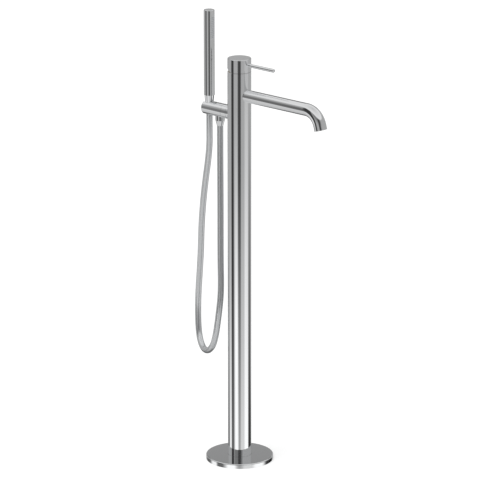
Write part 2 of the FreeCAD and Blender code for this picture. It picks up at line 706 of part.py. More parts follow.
def handle_cap():
    outline = [
        ("0", "pivot + hub_rise"), ("hub_dia / 2", "pivot + hub_rise"), ("hub_dia / 2", "cap_ceiling"),
        ("cap_bore", "cap_ceiling"), ("cap_bore", "cap_foot"), ("column_radius", "cap_foot"),
        ("column_radius", "cap_top"), ("0", "cap_top"),
    ]
    blank = turned("cap_shell", outline, rounded=(6, "cap_round"))
    wedge = block(
        "cap_bevel_tool",
        ("-column_dia", "-column_dia", "cap_foot"),
        ("column_dia", "2 * column_dia", "column_dia"),
    )
    rise = block("cap_bevel_keep", ("0", "-column_dia", "cap_foot"), ("2 * column_dia",) * 3)
    rise.Placement.Rotation = Rotation(Vector(0, 1, 0), 180)
    rise.setExpression(".Placement.Rotation.Angle", formula("180 + cap_bevel"))
    bevel = common("cap_bevel_wedge", wedge, rise)
    square = block(
        "cap_stem_socket",
        ("-half_stem", "-half_stem", "pivot"),
        ("stem_square", "stem_square", "stem_above"),
    )
    lever_hole = rod("cap_lever_hole", "lever_dia / 2", "column_dia", ("half_stem", "0", "lever_level"), "x")
    grub_hole = rod(
        "cap_grub_hole", "grub_dia / 2", "hub_dia", ("-hub_dia - half_stem", "0", "lever_level"), "x"
    )
    plug_hole = rod(
        "cap_plug_hole", "plug_dia / 2", "cap_wall + 1", ("-column_radius - 1", "0", "lever_level"), "x"
    )
    piece("handle_cap", cut("cap_cut", blank, bevel, square, lever_hole, grub_hole, plug_hole))


def lever_and_screw():
    outline = [
        ("half_stem", "0"), ("lever_reach", "0"),
        ("lever_reach", "lever_dia / 2"), ("half_stem", "lever_dia / 2"),
    ]
    rounding = (2, "lever_dia / 2 - 0.5")
    piece("lever", turned("lever_bar", outline, "H_Axis", ("0", "0", "lever_level"), rounding))
    length = "hub_dia / 2 - half_stem"
    piece(
        "handle_screw",
        rod("grub_screw", "grub_dia / 2", length, ("-hub_dia / 2", "0", "lever_level"), "x"),
    )
    plug = rod("plug_rod", "plug_dia / 2", "cap_wall", ("-column_radius", "0", "lever_level"), "x")
    envelope = rod("plug_envelope", "column_radius", "cap_top", ORIGIN)
    piece("handle_plug", common("plug_trimmed", plug, envelope))


# ---------------------------------------------------------------- spout


def bent_rod(label, radius):
    """A round bar along the spout's axis: straight run, bend and straight tip."""
    run = rod(label + "_run", radius, "bend_start - port_seat", ("port_seat", "0", "spout_level"), "x")
    bend = doc.addObject("Part::Torus", label + "_bend")
    bend.setExpression("Radius1", formula("spout_bend_radius"))
    bend.setExpression("Radius2", formula(radius))
    bend.setExpression("Angle3", formula("spout_bend_angle"))
    place(bend, ("bend_start", "0", "spout_level - spout_bend_radius"), Rotation(Vector(1, 1, 1), 240))
    tip = rod(label + "_tip", radius, "spout_tip", ("spout_reach", "0", "mouth_level"))
    into_mouth(tip)
    return join(label, run, bend, tip)


def into_mouth(thing):
    """Turn a thing that starts at the spout's mouth so that it runs back up the tube."""
    thing.Placement.Rotation = Rotation(Vector(0, 1, 0), 10)
    thing.setExpression(".Placement.Rotation.Angle", formula("spout_bend_angle - 90"))
    return thing


def spout():
    piece(
        "spout_tube",
        cut("spout_bored", bent_rod("spout_outer", "spout_radius"), bent_rod("spout_inner", "spout_bore")),
    )
    threads = "port_thread_dia / 2"
    groove_floor = "spout_bore - seal_depth"
    first = "port_seat + nipple_length / 3"
    second = "port_seat + nipple_length * 2 / 3"
    outline = [
        ("thread_end", "nipple_bore / 2"), ("thread_end", threads), ("port_seat", threads),
        ("port_seat", "spout_bore"),
        (first, "spout_bore"), (first, groove_floor),
        (first + " + seal_groove", groove_floor), (first + " + seal_groove", "spout_bore"),
        (second, "spout_bore"), (second, groove_floor),
        (second + " + seal_groove", groove_floor), (second + " + seal_groove", "spout_bore"),
        ("nipple_end", "spout_bore"), ("nipple_end", "nipple_bore / 2"),
    ]
    level = ("0", "0", "spout_level")
    piece("spout_nipple", turned("nipple_turned", outline, "H_Axis", level))
    rings = []
    for number, start in enumerate((first, second)):
        ring = [(start, groove_floor), (start + " + seal_groove", groove_floor),
                (start + " + seal_groove", "spout_bore"), (start, "spout_bore")]
        rings.append(turned(f"spout_seal_{number}", ring, "H_Axis", level))
    piece("spout_seals", join("spout_seal_pair", *rings))


def aerator():
    inner = "spout_bore - aerator_wall"
    wall = tube_outline(inner, "spout_bore", "aerator_recess", "aerator_recess + aerator_length")
    at = ("spout_reach", "0", "mouth_level")
    piece("aerator_housing", into_mouth(turned("aerator_ring", wall, at=at)))
    radius = sizes.spout_dia / 2 - sizes.spout_wall - sizes.aerator_wall
    depth = sizes.aerator_length / 2
    low = sizes.aerator_recess + depth / 4
    screen = Part.makeCylinder(radius, depth, Vector(0, 0, low))
    jets = []
    for ring in range(JET_RINGS + 1):
        count = max(1, 6 * ring)
        for number in range(count):
            away = Vector(ring * sizes.jet_pitch, 0, low - 1)
            start = Rotation(Vector(0, 0, 1), 360 * number / count).multVec(away)
            jets.append(Part.makeCylinder(sizes.jet_dia / 2, depth + 2, start))
    core = doc.addObject("Part::Feature", "aerator_screen")
    core.Shape = screen.cut(Part.makeCompound(jets))
    piece("aerator_core", into_mouth(place(core, at)))


# ---------------------------------------------------------------- holder arm and diverter


LEVEL = ("0", "0", "arm_level")


def arm_stub():
    """The fixed stub through the column's wall, with a closed wall between its two bores."""
    outer = "stub_dia / 2"
    threads = "port_thread_dia / 2"
    outline = [("-thread_end", "0"), ("-thread_end", threads), ("-port_seat", threads),
               ("-port_seat", outer), ("-stub_end", outer), ("-stub_end", "0")]
    blank = turned("stub_blank", outline, "H_Axis", LEVEL)
    inner = rod("stub_inner_bore", "stub_bore / 2", "ring_middle - stub_wall / 2 - thread_end + 1",
                ("stub_wall / 2 - ring_middle", "0", "arm_level"), "x")
    outer_bore = rod("stub_outer_bore", "stub_bore / 2", "stub_end - ring_middle - stub_wall / 2 + 1",
                     ("-stub_end - 1", "0", "arm_level"), "x")
    reach = "(stub_wall + stub_port_dia) / 2 + stub_port_gap"
    ports = [
        rod(
            f"stub_port_{name}",
            "stub_port_dia / 2",
            "stub_dia",
            (f"{sign} {reach} - ring_middle", "0", "arm_level"),
        )
        for name, sign in (("in", ""), ("out", "-"))
    ]
    starts = (
        "-ring_root - arm_seal_inset - arm_seal",
        "-ring_tip + arm_seal_inset",
        "-stub_end + arm_seal_inset",
    )
    rings = []
    for number, start in enumerate(starts):
        end = start + " + arm_seal"
        floor = "stub_dia / 2 - arm_seal"
        wall = [(start, floor), (start, outer), (end, outer), (end, floor)]
        rings.append(turned(f"arm_seal_{number}", wall, "H_Axis", LEVEL))
    seals = join("arm_seal_set", *rings)
    piece("arm_stub", cut("stub_bored", blank, inner, outer_bore, *ports, seals))
    piece("arm_seals", seals)


def root_collar():
    """The short fixed ring that is coped over the column's side."""
    wall = [("-root_collar_reach", "stub_dia / 2"), ("-root_collar_reach", "arm_radius"),
            ("0", "arm_radius"), ("0", "stub_dia / 2")]
    blank = turned("collar_blank", wall, "H_Axis", LEVEL)
    column = rod("collar_cope", "column_radius", "column_top", ORIGIN)
    piece("root_collar", cut("collar_coped", blank, column))


def diverter():
    ring = [("-ring_tip", "shutter_radius"), ("-ring_tip", "arm_radius"),
            ("-ring_root", "arm_radius"), ("-ring_root", "shutter_radius")]
    piece("diverter_ring", turned("diverter_ring_turned", ring, "H_Axis", LEVEL))
    bore = "stub_dia / 2 + shutter_gap"
    sleeve = [("-ring_tip", bore), ("-ring_tip", "shutter_radius"),
              ("-ring_root", "shutter_radius"), ("-ring_root", bore)]
    blank = turned("shutter_turned", sleeve, "H_Axis", LEVEL)
    length = "ring_tip - ring_root - 4"
    channel = block("shutter_channel", ("-ring_tip + 2", "0", "arm_level - stub_port_dia / 2"),
                    (length, "stub_dia / 2 + shutter_gap + shutter_wall / 2", "stub_port_dia"))
    piece("diverter_shutter", cut("shutter_cut", blank, channel))


def holder_arm():
    """The arm: bored for water from the seam to the outlet, and coned and slotted for the handset."""
    outline = [
        ("-arm_reach", "0"), ("-arm_reach", "arm_radius"), ("-arm_seam", "arm_radius"), ("-arm_seam", "0")
    ]
    blank = turned("arm_blank", outline, "H_Axis", LEVEL, (1, "arm_round"))
    socket = rod("arm_socket", "stub_dia / 2", "stub_end", ("-stub_end", "0", "arm_level"), "x")
    bore = rod(
        "arm_bore",
        "stub_bore / 2",
        "outlet_offset",
        ("-outlet_offset - stub_bore / 2", "0", "arm_level"),
        "x",
    )
    outlet = rod("arm_outlet", "valve_dia / 2", "arm_radius", ("-outlet_offset", "0", "arm_underside"))
    thread = rod("arm_outlet_thread", "outlet_thread_dia / 2", "outlet_thread_level - arm_underside + 4",
                 ("-outlet_offset", "0", "arm_underside - 4"))
    cone = doc.addObject("Part::Cone", "arm_cone")
    cone.setExpression("Radius1", formula("nut_end_radius + cone_gap"))
    cone.setExpression("Radius2", formula("upper_nut_top_dia / 2 + cone_gap"))
    cone.setExpression("Height", formula("upper_nut_length"))
    place(cone, ("-handset_offset", "0", "upper_nut_foot"))
    throat = rod("arm_throat", "holder_slot / 2", "arm_dia", ("-handset_offset", "0", "arm_level - arm_dia"))
    slot = block("arm_slot", ("-arm_reach - 1", "-holder_slot / 2", "arm_level - arm_dia"),
                 ("arm_reach + 1 - handset_offset", "holder_slot", "2 * arm_dia"))
    piece("holder_arm", cut("arm_machined", blank, socket, bore, outlet, thread, cone, throat, slot))


def hose_outlet():
    axis = ("-outlet_offset", "0", "0")
    boss = rod(
        "boss_round",
        "outlet_dia / 2",
        "arm_level - outlet_level",
        ("-outlet_offset", "0", "outlet_level"),
    )
    arm = rod("boss_cope", "arm_radius", "arm_reach", ("-arm_reach", "0", "arm_level"), "x")
    coped = cut("boss_coped", boss, arm)
    thread = rod("boss_thread", "outlet_thread_dia / 2", "outlet_thread_level - outlet_level",
                 ("-outlet_offset", "0", "outlet_level"))
    spigot = rod("boss_spigot", "outlet_spigot_dia / 2", "outlet_spigot_length + 1",
                 ("-outlet_offset", "0", "outlet_spigot_foot"))
    solid = join("boss_joined", coped, thread, spigot)
    bore = rod("boss_bore", "hose_bore / 2", "arm_radius", ("-outlet_offset", "0", "outlet_spigot_foot - 1"))
    pocket = rod(
        "boss_pocket",
        "valve_dia / 2",
        "arm_radius",
        ("-outlet_offset", "0", "outlet_thread_level - valve_length"),
    )
    piece("hose_outlet", cut("boss_bored", solid, bore, pocket))
    low = "outlet_thread_level - valve_length"
    valve = tube_outline("valve_dia / 2 - 1.5", "valve_dia / 2", low, "outlet_thread_level")
    piece("check_valve", turned("check_valve_cage", valve, at=axis))
    washer = tube_outline(
        "hose_bore / 2",
        "outlet_spigot_dia / 2",
        "outlet_spigot_foot - washer_thick",
        "outlet_spigot_foot",
    )
    piece("lower_washer", turned("lower_washer_ring", washer, at=axis))
    shelf = "outlet_spigot_foot - washer_thick"
    nut = [
        ("hose_bore / 2", "lower_nut_foot"), ("nut_end_radius", "lower_nut_foot"),
        ("lower_nut_top_dia / 2", "lower_nut_top"), ("outlet_spigot_dia / 2", "lower_nut_top"),
        ("outlet_spigot_dia / 2", shelf), ("hose_bore / 2", shelf),
    ]
    piece("hose_nut_lower", turned("lower_nut_turned", nut, at=axis))


# ---------------------------------------------------------------- handset


AXIS = ("-handset_offset", "0", "0")


def handset_body():
    outer = "handset_dia / 2"
    outline = [
        ("handset_bore", "handset_bottom"), (outer, "handset_bottom"), (outer, "handset_top"),
        ("0", "handset_top"), ("0", "handset_ceiling"), ("handset_bore", "handset_ceiling"),
    ]
    blank = turned("handset_shell", outline, at=AXIS, rounded=(2, "handset_round"))
    wide = "handset_dia"
    flat = block(
        "handset_flat", ("face_plane", "-handset_dia / 2", "face_foot"), (wide, wide, "face_length")
    )
    curve = rod(
        "handset_runout_curve",
        "runout_radius",
        wide,
        ("face_plane + runout_radius", "-handset_dia / 2", "face_foot"),
        "y",
    )
    under = block(
        "handset_runout_zone",
        ("face_plane", "-handset_dia / 2", "face_foot - face_length"),
        (wide, wide, "face_length"),
    )
    runout = common("handset_runout", curve, under)
    window = block("handset_window", ("face_plane - plate_thick", "-plate_width / 2", "plate_foot"),
                   (wide, "plate_width", "plate_length"))
    piece("handset_body", cut("handset_machined", blank, flat, runout, window))


def spray_face():
    """The plate flush with the flat face, and the soft nozzles that stand proud of it."""
    plate = block("spray_plate_blank", ("face_plane - plate_thick", "-plate_width / 2", "plate_foot"),
                  ("plate_thick", "plate_width", "plate_length"))
    back = sizes.face_offset - sizes.handset_offset - sizes.plate_thick
    middle = places.plate_foot + places.plate_length / 2
    pins = []
    for column in range(NOZZLE_COLUMNS):
        for row in range(NOZZLE_ROWS):
            across = (column - (NOZZLE_COLUMNS - 1) / 2) * sizes.nozzle_pitch
            up = middle + (row - (NOZZLE_ROWS - 1) / 2) * sizes.nozzle_pitch
            start = Vector(back, across, up)
            pins.append(
                Part.makeCylinder(
                    sizes.nozzle_dia / 2,
                    sizes.plate_thick + sizes.nozzle_rise,
                    start,
                    Vector(1, 0, 0),
                )
            )
    nozzles = doc.addObject("Part::Feature", "nozzle_set")
    nozzles.Shape = Part.makeCompound(pins)
    piece("spray_plate", cut("spray_plate_drilled", plate, nozzles))
    piece("spray_nozzles", nozzles)


def handset_inside():
    bore = "hose_bore / 2"
    outline = [
        (bore, "spigot_foot"), ("spigot_dia / 2", "spigot_foot"), ("spigot_dia / 2", "handset_bottom"),
        ("handset_bore", "handset_bottom"), ("handset_bore", "plug_top"), ("waterway_dia / 2", "plug_top"),
        ("waterway_dia / 2", "handset_bottom + 3"), (bore, "handset_bottom + 3"),
    ]
    piece("handset_spigot", turned("spigot_turned", outline, at=AXIS))
    wall = tube_outline(
        "waterway_dia / 2 - waterway_wall", "waterway_dia / 2", "handset_bottom + 3", "handset_ceiling"
    )
    tube = turned("waterway_tube", wall, at=AXIS)
    window = block(
        "waterway_window_tool",
        ("-handset_offset", "-waterway_window / 2", "plate_foot + plate_edge"),
        ("waterway_dia", "waterway_window", "plate_length - 2 * plate_edge"),
    )
    piece("handset_waterway", cut("waterway_opened", tube, window))


def upper_nut():
    socket = "spigot_dia / 2 + spigot_gap"
    shelf = "spigot_foot - washer_thick - slip_gap"
    outline = [
        ("hose_bore / 2", "upper_nut_foot"), ("nut_end_radius", "upper_nut_foot"),
        ("upper_nut_top_dia / 2", "upper_nut_top"), (socket, "upper_nut_top"),
        (socket, shelf), ("hose_bore / 2", shelf),
    ]
    piece("hose_nut_upper", turned("upper_nut_turned", outline, at=AXIS))
    washer = tube_outline("hose_bore / 2", socket, shelf, shelf + " + washer_thick")
    piece("upper_washer", turned("upper_washer_ring", washer, at=AXIS))


# ---------------------------------------------------------------- hose


def hose_path():
    """Straight runs joined by tangent arcs, from the outlet's nut to the handset's nut."""
    start = Vector(-sizes.outlet_offset, 0, places.lower_nut_foot)
    end = Vector(-sizes.handset_offset, 0, places.upper_nut_foot)
    below_outlet = start - Vector(0, 0, sizes.hose_first_run)
    below_holder = end - Vector(0, 0, sizes.hose_last_run)
    route = [start, below_outlet, *(Vector(*corner) for corner in HOSE_ROUTE), below_holder, end]
    edges = []
    radii = []
    here = start
    for before, corner, after in zip(route, route[1:], route[2:]):
        back = (before - corner).normalize()
        ahead = (after - corner).normalize()
        half_turn = (math.pi - back.getAngle(ahead)) / 2
        reach = CORNER_SHARE * min(before.distanceToPoint(corner), after.distanceToPoint(corner))
        radius = reach / math.tan(half_turn)
        first = corner + back * reach
        last = corner + ahead * reach
        inward = (back + ahead).normalize()
        middle = corner + inward * (radius / math.cos(half_turn) - radius)
        edges.append(Part.LineSegment(here, first).toShape())
        edges.append(Part.Arc(first, middle, last).toShape())
        radii.append(radius)
        here = last
    edges.append(Part.LineSegment(here, end).toShape())
    print("hose radii:", " ".join(f"{radius:.0f}" for radius in radii))
    return Part.Wire(edges)


def hose():
    path = hose_path()
    first = path.Edges[0]
    section = Part.Wire(
        Part.makeCircle(
            sizes.hose_dia / 2,
            first.valueAt(first.FirstParameter),
            first.tangentAt(first.FirstParameter),
        )
    )
    tube = doc.addObject("Part::Feature", "hose_tube")
    tube.Shape = path.makePipeShell([section], True, False)
    piece("hose", tube)
    expected = math.pi * sizes.hose_dia ** 2 / 4 * path.Length
    print(f"hose length {path.Length:.1f}, volume {tube.Shape.Volume:.0f} against {expected:.0f}")


# ---------------------------------------------------------------- build, test and write


def build():
    anchor_plate()
    column_foot()
    foot_screws()
    base_cover()
    for name, offset in INLETS:
        supply(name, offset)
    column_tube()
    valve_body()
    cartridge_base()
    ceramic_discs()
    cartridge_housing()
    cartridge_turret()
    cartridge_nut()
    dome_cover()
    mixing_stem()
    handle_cap()
    lever_and_screw()
    spout()
    aerator()
    arm_stub()
    root_collar()
    diverter()
    holder_arm()
    hose_outlet()
    handset_body()
    spray_face()
    handset_inside()
    upper_nut()
    hose()
    doc.recompute()


def check_and_write():
    """Stop on any failed object or bad shape, then write one file for each piece."""
    for thing in doc.Objects:
        failed = {"Invalid", "Error"} & set(thing.State)
        if failed:
            raise RuntimeError(f"{thing.Name} is {failed}")
    for thing in pieces:
        if thing.Shape.isNull() or not thing.Shape.isValid() or not thing.Shape.Solids:
            raise RuntimeError(f"{thing.Label} has a bad shape")
    os.makedirs("parts", exist_ok=True)
    for thing in pieces:
        thing.Shape.exportStep(f"parts/{thing.Label}.step")
        print(f"{thing.Label}: {len(thing.Shape.Solids)} solids, {thing.Shape.Volume:.0f} mm3")


build()
check_and_write()
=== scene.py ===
"""Looks of the floor standing bath filler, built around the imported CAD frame.

The script loads the frame, gives every CAD node the finish that the real piece has, and models what the
solids leave plain: the hanging hose, the soft spray nozzles and the wire screen in the spout's mouth. It
also sets up the camera, the pale floor and the studio that the chrome mirrors.
"""

import logging
import math
from dataclasses import dataclass, field
from enum import Enum
from typing import Any, Callable

import bpy
from mathutils import Matrix, Vector


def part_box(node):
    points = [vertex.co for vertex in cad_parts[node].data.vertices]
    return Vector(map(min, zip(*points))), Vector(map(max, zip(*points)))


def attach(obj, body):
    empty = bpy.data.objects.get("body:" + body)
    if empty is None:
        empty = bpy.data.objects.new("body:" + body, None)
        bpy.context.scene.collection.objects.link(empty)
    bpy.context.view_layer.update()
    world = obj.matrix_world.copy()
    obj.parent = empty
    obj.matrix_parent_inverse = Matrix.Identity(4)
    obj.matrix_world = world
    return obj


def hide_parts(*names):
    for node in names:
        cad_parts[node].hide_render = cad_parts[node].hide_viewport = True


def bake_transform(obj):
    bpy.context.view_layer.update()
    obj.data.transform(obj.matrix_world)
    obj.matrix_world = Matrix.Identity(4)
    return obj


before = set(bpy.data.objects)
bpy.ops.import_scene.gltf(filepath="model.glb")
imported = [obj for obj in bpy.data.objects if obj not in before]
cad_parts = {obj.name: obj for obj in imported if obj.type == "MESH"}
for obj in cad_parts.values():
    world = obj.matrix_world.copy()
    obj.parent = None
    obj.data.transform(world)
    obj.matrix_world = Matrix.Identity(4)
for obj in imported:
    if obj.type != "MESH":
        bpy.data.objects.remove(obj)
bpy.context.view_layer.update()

LOG = logging.getLogger("bath_filler")
MM = 0.001
EYE_GAMMA = 2.2
PICTURE_PX = 500
SENSOR_MM = 36
# How much darker the bottom of a tool mark is, and how much paler uneven pigment gets.
TARNISH_GAIN = 0.86
PIGMENT_GAIN, PIGMENT_LIFT = 1.08, 2
# Band of the wave texture at a scale of 1, in metres.
WAVE_BAND = 0.32


# ---------------------------------------------------------------- colours and nodes


def linear(colour: str) -> tuple[float, float, float, float]:
    """Turn an sRGB hex colour into Blender's linear values.

    Args:
        colour: six hex digits after a '#'.

    Returns:
        Linear red, green and blue, with an alpha of 1.
    """
    shares = [int(colour[place:place + 2], 16) / 255 for place in (1, 3, 5)]
    red, green, blue = (s / 12.92 if s <= 0.04045 else ((s + 0.055) / 1.055) ** 2.4 for s in shares)
    return red, green, blue, 1.0


def scaled(colour: str, gain: float, lift: float = 0.0) -> str:
    """Make an sRGB hex colour darker or paler.

    Args:
        colour: six hex digits after a '#'.
        gain: factor for each channel.
        lift: what is added to each channel after that.

    Returns:
        The new hex colour.
    """
    channels = (int(colour[place:place + 2], 16) for place in (1, 3, 5))
    return "#" + "".join(f"{min(255, int(channel * gain + lift)):02X}" for channel in channels)


def level_of(height: float) -> float:
    """Turn a height over the horizon, in degrees, into 0 straight down to 1 straight up."""
    return (90 + height) / 180


def azimuth_of(angle: float) -> float:
    """Turn an angle round the horizon, from -180 to 180 degrees, into 0 to 1."""
    return (angle + 180) / 360


def add_node(tree: bpy.types.NodeTree, kind: str, inputs: dict[Any, Any] | None = None,
             **settings: Any) -> bpy.types.ShaderNode:
    """Add one node with its settings and its links.

    Args:
        tree: node tree that gets the node.
        kind: node type after 'ShaderNode'.
        inputs: input name or number, with a constant or the output socket to link to it.
        settings: the node's own properties.

    Returns:
        The new node.
    """
    node = tree.nodes.new("ShaderNode" + kind)
    for name, value in settings.items():
        setattr(node, name, value)
    for name, value in (inputs or {}).items():
        if isinstance(value, bpy.types.NodeSocket):
            tree.links.new(value, node.inputs[name])
        else:
            node.inputs[name].default_value = value
    return node


def fill_ramp(ramp: bpy.types.ColorRamp, stops: list[tuple[float, str]]) -> None:
    """Set a colour ramp's stops.

    Args:
        ramp: the ramp to fill.
        stops: place from 0 to 1 and sRGB hex colour of each stop, in order.
    """
    while len(ramp.elements) > 1:
        ramp.elements.remove(ramp.elements[-1])
    ramp.elements[0].position = stops[0][0]
    ramp.elements[0].color = linear(stops[0][1])
    for at, colour in stops[1:]:
        ramp.elements.new(at).color = linear(colour)


# ---------------------------------------------------------------- finishes


class Grain(Enum):
    """Direction of the tool marks on a metal."""

    TURNED_Z = "Z"
    TURNED_X = "X"
    NONE = "none"


@dataclass(frozen=True)
class Finish:
    """A real material with its surface.

    Attributes:
        name: what the material is and how its surface was made.
        colour: sRGB hex colour.
        metallic: 1 for bare metal, 0 for everything else.
        roughness: middle of the roughness range.
        spread: how far the roughness wanders to each side.
        grain_mm: size of the mottle that the roughness and the bump follow.
        relief_mm: height of the bump.
    """

    name: str
    colour: str
    metallic: float = 0.0
    roughness: float = 0.4
    spread: float = 0.05
    grain_mm: float = 1.0
    relief_mm: float = 0.01

    def relief(self, tree: bpy.types.NodeTree, place: bpy.types.NodeSocket) -> bpy.types.NodeSocket:
        """Height pattern of the surface, from 0 to 1.

        Args:
            tree: the material's nodes.
            place: Object coordinates.

        Returns:
            The output that carries the height.
        """
        mottle = add_node(tree, "TexNoise", {
            "Vector": place, "Scale": 1 / (self.grain_mm * MM), "Detail": 3.0, "Roughness": 0.6})
        return mottle.outputs["Fac"]

    def tone(self, tree: bpy.types.NodeTree, height: bpy.types.NodeSocket) -> bpy.types.NodeSocket | None:
        """Colour pattern of the surface, or None where the colour is even.

        Args:
            tree: the material's nodes.
            height: the surface's height pattern.

        Returns:
            The output that carries the colour, or None.
        """
        return None

    def gloss(self, shader: bpy.types.ShaderNode) -> None:
        """Set what is the same all over the surface.

        Args:
            shader: the Principled shader.
        """
        shader.inputs["Metallic"].default_value = self.metallic

    def material(self) -> bpy.types.Material:
        """Make the material, or give the one already made.

        Returns:
            The Blender material of this finish.
        """
        known = bpy.data.materials.get(self.name)
        if known:
            return known
        made = bpy.data.materials.new(self.name)
        made.use_nodes = True
        tree = made.node_tree
        shader = tree.nodes["Principled BSDF"]
        shader.inputs["Base Color"].default_value = linear(self.colour)
        made.diffuse_color = linear(self.colour)
        place = add_node(tree, "TexCoord").outputs["Object"]
        height = self.relief(tree, place)
        rough = add_node(tree, "MapRange", {"Value": height, "From Min": 0.25, "From Max": 0.75,
                                            "To Min": self.roughness - self.spread,
                                            "To Max": self.roughness + self.spread})
        bump = add_node(tree, "Bump", {"Height": height, "Strength": 1.0, "Distance": self.relief_mm * MM})
        tree.links.new(rough.outputs["Result"], shader.inputs["Roughness"])
        tree.links.new(bump.outputs["Normal"], shader.inputs["Normal"])
        colour = self.tone(tree, height)
        if colour:
            tree.links.new(colour, shader.inputs["Base Color"])
        self.gloss(shader)
        return made


@dataclass(frozen=True)
class PlatedChrome(Finish):
    """Mirror polished brass under decorative chrome plate: near white, bluish, sharp reflections.

    Polishing leaves a very shallow waviness some centimetres long, and dried water leaves faint dull spots.

    Attributes:
        spots_per_wave: spots along one polishing wave.
        spot_share: how much of the pattern the spots are.
    """

    spots_per_wave: float = 6
    spot_share: float = 0.2

    def relief(self, tree: bpy.types.NodeTree, place: bpy.types.NodeSocket) -> bpy.types.NodeSocket:
        """Polishing waves with faint spots in them; see the base class."""
        wave = self.grain_mm * MM
        waves = add_node(tree, "TexNoise", {"Vector": place, "Scale": 1 / wave, "Detail": 1.0})
        spots = add_node(tree, "TexVoronoi", {"Vector": place, "Scale": self.spots_per_wave / wave},
                         feature="SMOOTH_F1")
        mixed = add_node(tree, "Mix", {
            "Factor": self.spot_share, "A": waves.outputs["Fac"], "B": spots.outputs["Distance"]})
        return mixed.outputs["Result"]


@dataclass(frozen=True)
class MachinedMetal(Finish):
    """Turned or drawn metal left as the tool made it: soft highlight, fine lines across it."""

    grain: Grain = Grain.TURNED_Z

    def relief(self, tree: bpy.types.NodeTree, place: bpy.types.NodeSocket) -> bpy.types.NodeSocket:
        """Tool marks as bands along the part's axis; see the base class."""
        if self.grain is Grain.NONE:
            return super().relief(tree, place)
        # A real feed mark is about 0.1 mm wide. It is drawn at the grain size so that it shows.
        marks = add_node(tree, "TexWave", {
            "Vector": place, "Scale": WAVE_BAND / (self.grain_mm * MM), "Distortion": 1.2, "Detail": 2.0,
            "Detail Scale": 1.5}, wave_type="BANDS", bands_direction=self.grain.value)
        return marks.outputs["Fac"]

    def tone(self, tree: bpy.types.NodeTree, height: bpy.types.NodeSocket) -> bpy.types.NodeSocket | None:
        """Bottoms of the tool marks hold a little tarnish; see the base class."""
        ramp = add_node(tree, "ValToRGB", {"Fac": height})
        fill_ramp(ramp.color_ramp, [(0.1, scaled(self.colour, TARNISH_GAIN)), (0.8, self.colour)])
        return ramp.outputs["Color"]


@dataclass(frozen=True)
class Moulded(Finish):
    """Injection moulded plastic or fired ceramic: even colour, fine spark-eroded or lapped skin.

    Attributes:
        ior: index of refraction.
        coat: share of clear gloss on top.
    """

    ior: float = 1.5
    coat: float = 0.0

    def tone(self, tree: bpy.types.NodeTree, height: bpy.types.NodeSocket) -> bpy.types.NodeSocket | None:
        """The pigment is a little uneven; see the base class."""
        ramp = add_node(tree, "ValToRGB", {"Fac": height})
        paler = scaled(self.colour, PIGMENT_GAIN, PIGMENT_LIFT)
        fill_ramp(ramp.color_ramp, [(0.3, self.colour), (0.75, paler)])
        return ramp.outputs["Color"]

    def gloss(self, shader: bpy.types.ShaderNode) -> None:
        """Plastic gloss; see the base class."""
        super().gloss(shader)
        shader.inputs["IOR"].default_value = self.ior
        shader.inputs["Coat Weight"].default_value = self.coat
        shader.inputs["Coat Roughness"].default_value = 0.08


@dataclass(frozen=True)
class HoseSleeve(Moulded):
    """Clear PVC sleeve over a metallised spiral: a smooth silver-grey hose with a soft sheen.

    Attributes:
        pitch_mm: one turn of the spiral tape under the sleeve.
    """

    pitch_mm: float = 2.0

    def relief(self, tree: bpy.types.NodeTree, place: bpy.types.NodeSocket) -> bpy.types.NodeSocket:
        """The spiral under the skin, by the hose's UV map in turns and millimetres; see the base class."""
        along = add_node(tree, "UVMap", uv_map="HoseUV").outputs["UV"]
        parts = add_node(tree, "SeparateXYZ", {"Vector": along})
        slant = add_node(tree, "Math", {0: parts.outputs["Y"], 1: 1 / self.pitch_mm}, operation="MULTIPLY")
        turn = add_node(tree, "Math", {0: slant.outputs[0], 1: parts.outputs["X"]}, operation="ADD")
        angle = add_node(tree, "Math", {0: turn.outputs[0], 1: math.tau}, operation="MULTIPLY")
        wave = add_node(tree, "Math", {0: angle.outputs[0]}, operation="SINE")
        height = add_node(tree, "MapRange", {"Value": wave.outputs[0], "From Min": -1.0, "From Max": 1.0})
        return height.outputs["Result"]


CHROME = PlatedChrome("polished_chrome_plate", "#EAEBEC", 1.0, 0.05, 0.015, 24, 0.004)
STEEL = MachinedMetal("brushed_stainless_steel", "#C6C5C1", 1.0, 0.34, 0.07, 0.8, 0.01, Grain.NONE)
BRASS = MachinedMetal("turned_brass", "#D9B973", 1.0, 0.3, 0.06, 0.5, 0.012, Grain.TURNED_Z)
BRASS_ACROSS = MachinedMetal("turned_brass_across", "#D9B973", 1.0, 0.3, 0.06, 0.5, 0.012, Grain.TURNED_X)
COPPER = MachinedMetal("drawn_copper_tube", "#D98F6B", 1.0, 0.32, 0.05, 6, 0.01, Grain.NONE)
CERAMIC = Moulded("lapped_alumina_ceramic", "#F1EFE9", 0.0, 0.12, 0.03, 0.4, 0.001, 1.6, 0.4)
CARTRIDGE_PLASTIC = Moulded("moulded_white_acetal", "#E4E2DC", 0.0, 0.42, 0.05, 0.5, 0.006, 1.48)
BLACK_PLASTIC = Moulded("moulded_black_acetal", "#1C1C1E", 0.0, 0.4, 0.06, 0.5, 0.006, 1.48)
GREY_PLASTIC = Moulded("moulded_grey_acetal", "#7B7E80", 0.0, 0.38, 0.06, 0.5, 0.006, 1.48)
RUBBER = Moulded("moulded_black_rubber", "#161616", 0.0, 0.6, 0.08, 0.4, 0.01, 1.52)
PALE_PLASTIC = Moulded("moulded_pale_grey_plastic", "#C2C4C6", 0.0, 0.3, 0.05, 0.5, 0.004, 1.5)
SILICONE = Moulded("moulded_grey_silicone", "#A6A9AB", 0.0, 0.5, 0.06, 0.4, 0.006, 1.41)
SLEEVE = HoseSleeve("metallised_pvc_hose_sleeve", "#D2D4D5", 0.85, 0.26, 0.02, 1.0, 0.006, 1.53, 0.5, 2.0)


# ---------------------------------------------------------------- modelling helpers


